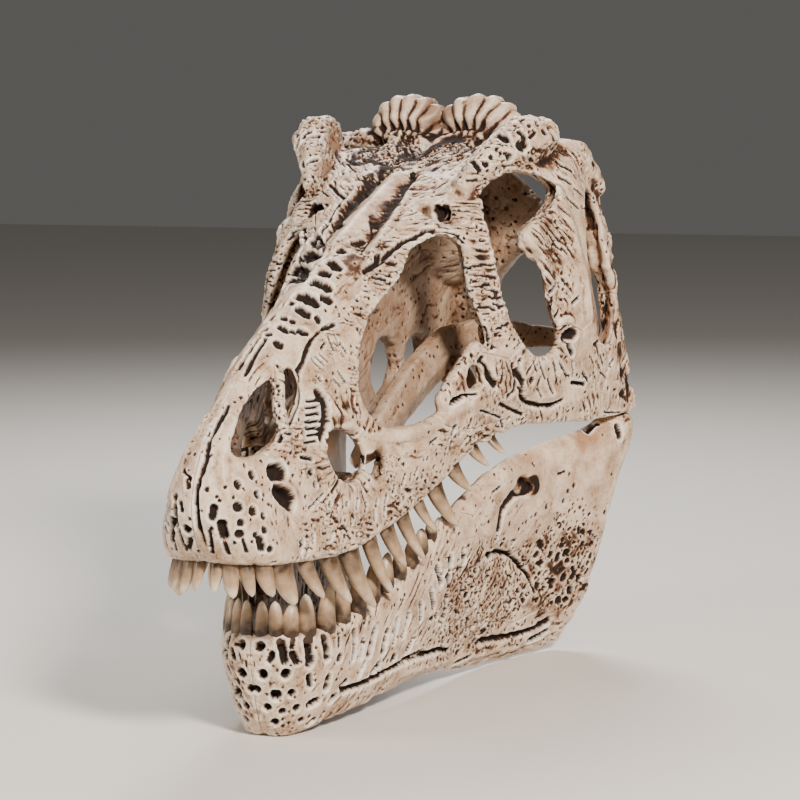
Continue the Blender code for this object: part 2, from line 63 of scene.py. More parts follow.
def cloudy(p, size, seed=0):    # smooth noise from -1 to 1, lumps about size mm across
    q = p / np.asarray(size, dtype=float)
    cell = np.floor(q).astype(np.int64)
    f = q - cell
    f = f * f * (3 - 2 * f)
    total = np.zeros(len(p))
    for a in (0, 1):
        wx = f[:, 0] if a else 1 - f[:, 0]
        for b in (0, 1):
            wy = f[:, 1] if b else 1 - f[:, 1]
            for c in (0, 1):
                wz = f[:, 2] if c else 1 - f[:, 2]
                total += wx * wy * wz * lattice(cell[:, 0] + a, cell[:, 1] + b, cell[:, 2] + c, seed)
    return total * 2 - 1


def rough(p, size, octaves=3, seed=0):    # several sizes of noise together
    total = np.zeros(len(p))
    for k in range(octaves):
        total += cloudy(p, np.asarray(size, dtype=float) / 2 ** k, seed + 17 * k) / 1.8 ** k
    return total / 1.6


def cells(p, size, seed=0):    # distance to the nearest scattered point, in cells, and that point's own number
    q = p / np.asarray(size, dtype=float)
    cell = np.floor(q).astype(np.int64)
    best = np.full(len(p), 9.0)
    own = np.zeros(len(p))
    for a in (-1, 0, 1):
        for b in (-1, 0, 1):
            for c in (-1, 0, 1):
                i, j, k = cell[:, 0] + a, cell[:, 1] + b, cell[:, 2] + c
                dx = i + lattice(i, j, k, seed) - q[:, 0]
                dy = j + lattice(i, j, k, seed + 1) - q[:, 1]
                dz = k + lattice(i, j, k, seed + 2) - q[:, 2]
                d = np.sqrt(dx * dx + dy * dy + dz * dz)
                near = d < best
                best[near] = d[near]
                own[near] = lattice(i, j, k, seed + 3)[near]
    return best, own


def ease(x, low, high):    # 0 below low, 1 above high, smooth between
    t = np.clip((x - low) / (high - low), 0, 1)
    return t * t * (3 - 2 * t)


# volumes: the solids as distances on a grid
def cadMesh(name):    # a merged copy of a CAD node: corners in mm and triangles
    bm = bmesh.new()
    bm.from_mesh(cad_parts[name].data)
    bmesh.ops.remove_doubles(bm, verts=bm.verts, dist=1e-6)
    bmesh.ops.triangulate(bm, faces=bm.faces)
    points = np.array([v.co[:] for v in bm.verts]) * 1000
    triangles = np.array([[v.index for v in f.verts] for f in bm.faces], dtype=np.uint32)
    bm.free()
    return points, triangles


def blurred(field, sigma):    # Gaussian blur, sigma in voxels
    reach = int(math.ceil(sigma * 3))
    weights = np.exp(-0.5 * (np.arange(-reach, reach + 1) / sigma) ** 2)
    weights /= weights.sum()
    for axis in range(3):
        pad = [(0, 0)] * 3
        pad[axis] = (reach, reach)
        wide = np.pad(field, pad, mode="edge")
        total = np.zeros_like(field)
        for k, w in enumerate(weights):
            cut = [slice(None)] * 3
            cut[axis] = slice(k, k + field.shape[axis])
            total += np.float32(w) * wide[tuple(cut)]
        field = total
    return field


def readVolume(names, low, shape):    # distance in mm to each named node, on one shared grid
    fields = {}
    for name in names:
        points, triangles = cadMesh(name)
        index = (points - low) / step
        level = vdb.FloatGrid.createLevelSetFromPolygons(
            index, triangles=triangles, transform=vdb.createLinearTransform(voxelSize=1.0),
            halfWidth=float(grid["band"]))
        first = np.maximum(np.floor(index.min(0)) - grid["band"] - 1, 0).astype(int)
        last = np.minimum(np.ceil(index.max(0)) + grid["band"] + 2, shape).astype(int)
        block = np.zeros(tuple(last - first), dtype=np.float32)
        level.copyToArray(block, ijk=tuple(int(v) for v in first))
        cut = tuple(slice(int(a), int(b)) for a, b in zip(first, last))
        fields[name] = (cut, block * np.float32(step))
    return fields


def sampled(field, low, points, size=step):    # values of a field at points, straight between voxels
    q = np.clip((points - low) / size, 0, np.array(field.shape) - 1.001)
    cell = q.astype(int)
    f = q - cell
    total = np.zeros(len(points))
    for a in (0, 1):
        wx = f[:, 0] if a else 1 - f[:, 0]
        for b in (0, 1):
            wy = f[:, 1] if b else 1 - f[:, 1]
            for c in (0, 1):
                wz = f[:, 2] if c else 1 - f[:, 2]
                total += wx * wy * wz * field[cell[:, 0] + a, cell[:, 1] + b, cell[:, 2] + c]
    return total


def slope(field, low, points):    # the outward direction of a field at points
    parts = []
    for axis in range(3):
        shift = np.zeros(3)
        shift[axis] = 0.6 * step
        parts.append(sampled(field, low, points + shift) - sampled(field, low, points - shift))
    g = np.stack(parts, 1)
    return g / np.maximum(np.linalg.norm(g, axis=1), 1e-6)[:, None]


def gridPoints(start, shape):
    return np.meshgrid(*[start[k] + np.arange(shape[k]) * step for k in range(3)], indexing="ij")


# The windows of the cheek in side view, as (y, z). Behind its outer face the bone is hollowed back from each of
# them, so that the rims are thin: how far back in mm, then the outline.
windows = {
    "naris": (5, [(7, 128), (17, 139), (36, 152), (56, 158.5), (57, 149), (46, 138), (33, 130), (18, 125.5)]),
    "maxillary": (5, [(66, 121), (70, 131), (80, 130), (90, 122), (89, 112.5), (81, 106), (71, 110.5)]),
    "antorbital": (5, [
        (104, 167), (95.5, 152), (94.5, 139), (107, 127.5), (125, 127), (140, 131), (155, 145), (166.5, 157.5),
        (164, 172), (162, 184), (165, 195), (168.5, 205), (163, 209), (149, 203.5), (136, 192), (124, 183.5),
        (113, 176)]),
    "orbit": (5, [
        (200, 234.5), (190, 226), (182.5, 214), (179, 200), (177.5, 186), (180, 174), (186, 164), (196, 156),
        (205, 151), (215, 151), (220, 157), (213.5, 169), (210, 183), (210, 192), (204, 199), (197, 207.5),
        (204, 212), (214, 217), (224, 222), (229, 228), (222, 235), (209, 236.5)]),
    "temple": (3, [
        (248, 216), (243, 194), (242, 177), (248, 163), (258, 154), (268, 151), (273, 160), (277, 171),
        (277, 181), (273, 190), (273, 202), (276, 214), (271, 225), (259, 228)]),
    "promaxillary": (3, [(94.5, 110), (96, 117), (100, 119.5), (104, 116), (104, 109), (100, 106)]),
}
# in mm: how thick the rims stay, the band about a window that tells where the outer face lies, how far outside
# the outline the cut begins, and how near the midline it ends
rims = {"thickness": 3.6, "band": (1.0, 7), "start": 0.6, "inmost": 5.0}
# what is added before the smoothing: a strut in the nostril, the lower rear corner of the snout's window, and the
# saw teeth on the front edge behind the eye, each as a radius and points
sawTeeth = [(62, 201.5, 202.5), (64.5, 205.5, 197.5), (69, 208.8, 193), (71, 210, 188.3), (72, 210.3, 183.5),
            (71.5, 211.5, 178.5)]
struts = {
    "maxilla_left": [(2.8, [(9.5, 50, 160), (11.5, 46, 152), (14, 41.5, 143), (17, 39, 135), (19.5, 37, 127)])],
    "jugal_left": [(3.7, [(44.3, 143, 136), (46.5, 150, 143.5), (48.8, 156.5, 150), (52.3, 162.5, 158)])],
    "postorbital_left": [
        (1.9, [(x - 1.5, y + 3, z - 0.5), (x - 2.2, y - 2.2, z + 0.8)]) for x, y, z in sawTeeth],
}


def pathDistance(q, path):    # distance to the nearest point of a line of points
    best = np.full(len(q), 99.0)
    for a, b in zip(path[:-1], path[1:]):
        run = b - a
        t = np.clip((q - a) @ run / (run @ run), 0, 1)
        best = np.minimum(best, np.linalg.norm(q - a - t[:, None] * run, axis=1))
    return best


def flatDistance(y, z, outline):    # distance to a closed outline, less than 0 inside it
    best = np.full(y.shape, 1e9)
    inside = np.zeros(y.shape, dtype=bool)
    for (y0, z0), (y1, z1) in zip(outline, outline[1:] + outline[:1]):
        t = np.clip(((y - y0) * (y1 - y0) + (z - z0) * (z1 - z0)) / ((y1 - y0) ** 2 + (z1 - z0) ** 2), 0, 1)
        best = np.minimum(best, np.hypot(y - y0 - t * (y1 - y0), z - z0 - t * (z1 - z0)))
        if z0 != z1:
            inside ^= ((z0 > z) != (z1 > z)) & (y < y0 + (z - z0) * (y1 - y0) / (z1 - z0))
    return np.where(inside, -best, best)


def thinRims(fields, whole, low):    # the bone round each window is hollowed from behind
    solid = whole < 0
    outer = low[0] + (whole.shape[0] - 1 - np.argmax(solid[::-1], axis=0)) * step
    filled = solid.any(0)
    y, z = np.meshgrid(low[1] + np.arange(whole.shape[1]) * step + middleY,
                       low[2] + np.arange(whole.shape[2]) * step, indexing="ij")
    for back, outline in windows.values():
        apart = flatDistance(y, z, outline)
        ring = (apart > rims["band"][0]) & (apart < rims["band"][1]) & filled
        terms = [np.ones_like(y), y, z, y * y / 100, y * z / 100, z * z / 100]
        fit = np.linalg.lstsq(np.stack([t[ring] for t in terms], 1), outer[ring], rcond=None)[0]
        face = sum(k * t for k, t in zip(fit, terms))
        shifts = (0, back / 3, back / 1.5, back)
        flat = np.minimum.reduce([flatDistance(y - s, z, outline) for s in shifts]) - rims["start"]
        for cut, block in fields.values():
            x = (low[0] + np.arange(cut[0].start, cut[0].stop) * step)[:, None, None]
            gone = np.maximum(flat[cut[1:]][None], x - face[cut[1:]][None] + rims["thickness"])
            gone = np.maximum(gone, rims["inmost"] - x)
            np.maximum(block, -gone.astype(np.float32), out=block)


def addStruts(fields, low):
    for bone, parts in struts.items():
        cut, block = fields[bone]
        axes = [low[a] + np.arange(c.start, c.stop) * step for a, c in enumerate(cut)]
        spots = np.stack(np.meshgrid(*axes, indexing="ij"), -1).reshape(-1, 3) + (0, middleY, 0)
        flat = block.reshape(-1)
        for radius, path in parts:
            path = np.array(path, float)
            near = np.flatnonzero(((spots > path.min(0) - 8) & (spots < path.max(0) + 8)).all(1))
            flat[near] = np.minimum(flat[near], pathDistance(spots[near], path) - radius)
        block[:] = flat.reshape(block.shape)


# how much solid lies about each place, which sets the painted occlusion shade, is read on a coarser grid: voxels to
# a step, and the blur in those steps
crowding = {"every": 3, "blur": 2.2}


# one smooth volume over bones that touch, before it is shared out again
def softForms(names, soften, grow, trim=None, windowed=False):
    corners = np.array([np.array(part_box(n)) * 1000 for n in names])
    low = corners[:, 0].min(0) - grid["margin"]
    low[0] = -(grid["mirrorAt"] - 0.5) * step
    shape = np.ceil((corners[:, 1].max(0) + grid["margin"] - low) / step).astype(int) + 1
    fields = readVolume(names, low, shape)
    if trim:    # the solids' own teeth are cut off at the margin, and finer ones stand there instead
        for name, (cut, block) in fields.items():
            start = low + np.array([s.start for s in cut]) * step
            x, y, z = gridPoints(start, block.shape)
            np.maximum(block, trim(y + middleY, z).astype(np.float32), out=block)
    far = np.float32(grid["band"] * step)
    if windowed:
        whole = np.full(tuple(shape), far, dtype=np.float32)
        for cut, block in fields.values():
            np.minimum(whole[cut], block, out=whole[cut])
        thinRims(fields, whole, low)
        addStruts(fields, low)
    whole = np.full(tuple(shape), far, dtype=np.float32)
    second = np.full(tuple(shape), far, dtype=np.float32)    # distance to the second nearest bone
    for cut, block in fields.values():
        np.minimum(second[cut], np.maximum(whole[cut], block), out=second[cut])
        np.minimum(whole[cut], block, out=whole[cut])
    m = grid["mirrorAt"]
    turned = whole.copy()
    turned[:m] = whole[2 * m - 1:m - 1:-1]    # past the midline lies this half turned over
    smooth = blurred(turned - np.float32(grow), soften / step)
    k = crowding["every"]
    near = blurred(np.clip(0.5 - turned[1::k, 1::k, 1::k] / (2 * step), 0, 1), crowding["blur"])
    return {"fields": fields, "whole": whole, "second": second, "smooth": smooth, "low": low,
            "near": near, "nearLow": low + step}


def shareOf(name, forms):    # one bone's part of the smooth volume, as a closed surface in mm
    cut, block = forms["fields"][name]
    other = np.where(block <= forms["whole"][cut] + 1e-4, forms["second"][cut], forms["whole"][cut])
    volume = np.maximum(forms["smooth"][cut], (block - other) * np.float32(0.5) + np.float32(0.02))
    start = forms["low"] + np.array([s.start for s in cut]) * step
    if name.endswith("_left"):
        across = start[0] + np.arange(volume.shape[0]) * step
        volume = np.maximum(volume, (0.04 - across)[:, None, None].astype(np.float32))
    g = vdb.FloatGrid(float(grid["band"] * step))
    g.copyFromArray(volume.astype(np.float32), tolerance=0.0)
    points, triangles, quads = g.convertToPolygons(0.0, 0.0)
    points = points.astype(float) * step + start
    quads = quads.astype(np.int64)
    if not name.endswith("_left"):    # a bone on the midline is kept to one half, and turned over later
        points[np.abs(points[:, 0]) < 0.35 * step, 0] = 0
        quads = quads[(points[quads][:, :, 0] >= 0).all(1)]
        used, quads = np.unique(quads, return_inverse=True)
        points, quads = points[used], quads.reshape(-1, 4)
    return points, quads


def linear(hexValue):    # an sRGB hex colour as the linear colour that the shader takes
    channels = [int(hexValue[k:k + 2], 16) / 255 for k in (1, 3, 5)]
    return tuple(c / 12.92 if c <= 0.04045 else ((c + 0.055) / 1.055) ** 2.4 for c in channels) + (1.0,)


def perMetre(millimetres):    # texture scale that gives a pattern of that real size
    return 1000.0 / millimetres


def addNode(tree, kind, settings=None, links=None):    # one shader node, with its settings and what feeds it
    node = tree.nodes.new(kind)
    for key, value in (settings or {}).items():
        if isinstance(key, int) or key in node.inputs.keys():
            node.inputs[key].default_value = value
        else:
            setattr(node, key, value)
    for key, (source, output) in (links or {}).items():
        tree.links.new(source.outputs[output], node.inputs[key])
    return node


def colourMix(tree, factor, first, second):    # first and second are a hex colour or a (node, output) pair
    mix = addNode(tree, "ShaderNodeMix", {"data_type": "RGBA", "clamp_factor": True})
    for socket, value in ((6, first), (7, second)):
        if isinstance(value, str):
            mix.inputs[socket].default_value = linear(value)
        else:
            tree.links.new(value[0].outputs[value[1]], mix.inputs[socket])
    if isinstance(factor, (int, float)):
        mix.inputs[0].default_value = factor
    else:
        tree.links.new(factor[0].outputs[factor[1]], mix.inputs[0])
    return (mix, 2)


def mathNode(tree, operation, *inputs):    # each input is a number or a (node, output) pair
    numbers = {k: v for k, v in enumerate(inputs) if not isinstance(v, tuple)}
    fed = {k: v for k, v in enumerate(inputs) if isinstance(v, tuple)}
    return (addNode(tree, "ShaderNodeMath", {"operation": operation, **numbers}, fed), 0)


def span(tree, source, low, high):    # a value stretched so that low gives 0 and high gives 1
    return (addNode(tree, "ShaderNodeMapRange", {"From Min": low, "From Max": high}, {"Value": source}), 0)


def bumped(tree, height, strength, depthMm, normal=None, sunk=False):
    links = {"Height": height, "Normal": normal} if normal else {"Height": height}
    settings = {"Strength": strength, "Distance": depthMm / 1000, **({"invert": True} if sunk else {})}
    return (addNode(tree, "ShaderNodeBump", settings, links), 0)


resinLook = {
    "cream": "#DFC9AF", "shade": "#A07C5C", "rubbedWhiteAndHighlight": "#F6ECDD", "darkStainAndShade": "#1A0D05", "thinStainAndShade": "#5E3A22",
    "ochre": "#94602E", "insideShadeTone": "#7A5A40",
    "roughness": 0.40, "washRoughness": 0.85, "ior": 1.38,
    "cloudMm": 12.0, "speckMm": 1.0, "poreMm": 1.5,
    "scratches": (0.52, 0.70), "poreEdge": (0.26, 0.14), "poreClouds": (0.54, 0.66),
    "wornClouds": (0.38, 0.66),
    "thinStainAndShadeRange": (-0.04, 0.42), "darkStainAndShadeRange": (0.34, 0.80), "worn": 0.85, "edgeRubAndHighlight": 0.8,
    # the edge of the brown stain and painted shade is broken up by this much: fine noise, its zero, scratches and
    # pores
    "push": 0.6, "pushZero": -0.34, "scratchPush": 0.42, "porePush": 0.5,
    # strength and depth in mm of the fine relief
    "speckBump": (0.30, 0.3), "scratchBump": (0.8, 0.5), "poreBump": (0.7, 0.4),
}


# Polyresin, cast in a silicone mould, brushed with thin brown stain and wiped: recesses stay dark with the stain
# and with painted shade, inward faces and crowded places carry painted shade, edges are rubbed back to bone white
# with a painted highlight, and a satin varnish gives soft highlights.
def castResin(name, look):
    material = bpy.data.materials.new(name)
    material.use_nodes = True
    tree = material.node_tree
    shader = tree.nodes["Principled BSDF"]
    place = addNode(tree, "ShaderNodeTexCoord")
    cue = {key: addNode(tree, "ShaderNodeAttribute", {"attribute_name": key})
           for key in ("hollow", "proud", "stain", "innerShade", "occlusionShade", "grainy", "flow")}
    onPiece = {"Vector": (place, "Object")}
    cloud = (addNode(tree, "ShaderNodeTexNoise",
                     {"Scale": perMetre(look["cloudMm"]), "Detail": 6.0, "Roughness": 0.62}, onPiece), 0)
    speck = (addNode(tree, "ShaderNodeTexNoise",
                     {"Scale": perMetre(look["speckMm"]), "Detail": 3.0}, onPiece), 0)
    # scratches follow each bone's own grain, which the mesh carries
    scratch = (addNode(tree, "ShaderNodeTexNoise", {"Scale": 1.15, "Detail": 3.0, "Roughness": 0.6},
                       {"Vector": (cue["flow"], "Vector")}), 0)
    scored = mathNode(tree, "MULTIPLY", span(tree, scratch, *look["scratches"]), (cue["grainy"], "Fac"))
    pore = (addNode(tree, "ShaderNodeTexVoronoi", {"Scale": perMetre(look["poreMm"])}, onPiece), 0)
    pored = mathNode(tree, "MULTIPLY", span(tree, pore, *look["poreEdge"]),
                     span(tree, cloud, *look["poreClouds"]))
    worn = mathNode(tree, "MULTIPLY", span(tree, cloud, *look["wornClouds"]), look["worn"])
    base = colourMix(tree, worn, look["cream"], look["shade"])
    # painted shade: faces turned in towards the midline, and the inner bones, are tinted darker brown
    base = colourMix(tree, (cue["innerShade"], "Fac"), base, look["insideShadeTone"])
    base = colourMix(tree, (cue["stain"], "Fac"), base, look["ochre"])
    # painted occlusion shade: a thin brown where much solid stands close about a place
    base = colourMix(tree, (cue["occlusionShade"], "Fac"), base, look["thinStainAndShade"])
    # the brown stain and painted shade break up at their edges: their depth is pushed up and down by the fine noise
    push = mathNode(tree, "MULTIPLY_ADD", speck, look["push"], look["pushZero"])
    uneven = mathNode(tree, "ADD", (cue["hollow"], "Fac"), push)
    more = mathNode(tree, "MULTIPLY_ADD", scored, look["scratchPush"], uneven)
    total = mathNode(tree, "MULTIPLY_ADD", pored, look["porePush"], more)
    # a thin and a dark brown over the hollow cue: brown stain and painted shade in recesses and cuts
    deep = span(tree, total, *look["darkStainAndShadeRange"])
    base = colourMix(tree, span(tree, total, *look["thinStainAndShadeRange"]), base, look["thinStainAndShade"])
    base = colourMix(tree, deep, base, look["darkStainAndShade"])
    # raised places lighter: rubbed-back wear and a painted highlight
    rubAndHighlight = mathNode(tree, "MULTIPLY", (cue["proud"], "Fac"), look["edgeRubAndHighlight"])
    base = colourMix(tree, rubAndHighlight, base, look["rubbedWhiteAndHighlight"])
    tree.links.new(base[0].outputs[base[1]], shader.inputs["Base Color"])
    gloss = addNode(tree, "ShaderNodeMapRange", {"To Min": look["roughness"], "To Max": look["washRoughness"]},
                    {"Value": deep})
    tree.links.new(gloss.outputs[0], shader.inputs["Roughness"])
    shader.inputs["IOR"].default_value = look["ior"]
    fine = bumped(tree, speck, *look["speckBump"])
    lined = bumped(tree, scored, *look["scratchBump"], fine, True)
    pitted = bumped(tree, pored, *look["poreBump"], lined, True)
    tree.links.new(pitted[0].outputs[0], shader.inputs["Normal"])
    return material


boneResin = castResin("antiquedAndShadedBoneResin", resinLook)


# relief: every mark that is cut into the bones, at its own place
# The camera also places the marks: lens and sensor in mm, picture width in pixels, angles in degrees, place in
# m. Where a mark's line of sight misses the solids, it is tried again a few pixels to the side, and a solid counts
# as in front of another where it lies more than so many mm nearer.
view = {"lens": 110.226, "sensor": 36.0, "pixels": 800, "azimuth": 23.9335, "elevation": 6.7438,
        "roll": -0.3511, "stand": (0.46903, -1.002346, 0.265373), "tries": (2, 4), "nearer": 15}


def viewAxes():    # the camera's right, up and backward directions
    azimuth, elevation, roll = (math.radians(view[k]) for k in ("azimuth", "elevation", "roll"))
    back = Vector((math.sin(azimuth) * math.cos(elevation), -math.cos(azimuth) * math.cos(elevation),
                   math.sin(elevation)))
    right = back.cross(Vector((0, 0, -1))).normalized()
    up = right.cross(-back)
    return right * math.cos(roll) + up * math.sin(roll), -right * math.sin(roll) + up * math.cos(roll), back


axes = viewAxes()
solids = [BVHTree.FromPolygons([v.co * 1000 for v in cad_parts[name].data.vertices],
                               [f.vertices[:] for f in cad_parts[name].data.polygons])
          for name in sorted(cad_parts)]


def seen(across, down):    # the place, to half a mm, where a pixel of the view meets the solids
    focal, middle = view["lens"] / view["sensor"] * view["pixels"], view["pixels"] / 2
    aside = [(a * d, b * d) for d in view["tries"] for a, b in ((1, 0), (-1, 0), (0, 1), (0, -1))]
    for dx, dy in [(0, 0)] + aside:
        ray = axes[0] * ((across + dx - middle) / focal) - axes[1] * ((down + dy - middle) / focal) - axes[2]
        best = None
        for tree in solids:
            hit, _, _, far = tree.ray_cast(Vector(view["stand"]) * 1000, ray.normalized())
            if hit is not None and (best is None or far < best[0] - view["nearer"]):
                best = (far, hit)
        if best:
            return tuple(round(float(c) * 2) / 2 for c in np.array(best[1]) + (0, middleY, 0))


def markInSpace(row):    # 4 or 6 numbers stand in pixels of the view, and 5 or 8 in mm
    if len(row) in (5, 8):
        return row
    return sum((seen(*row[k:k + 2]) for k in range(0, len(row) - 2, 2)), ()) + row[-2:]


def lineInSpace(row):    # points of 2 numbers are pixels
    return (*row[:2], [seen(*point) if len(point) == 2 else point for point in row[2]])


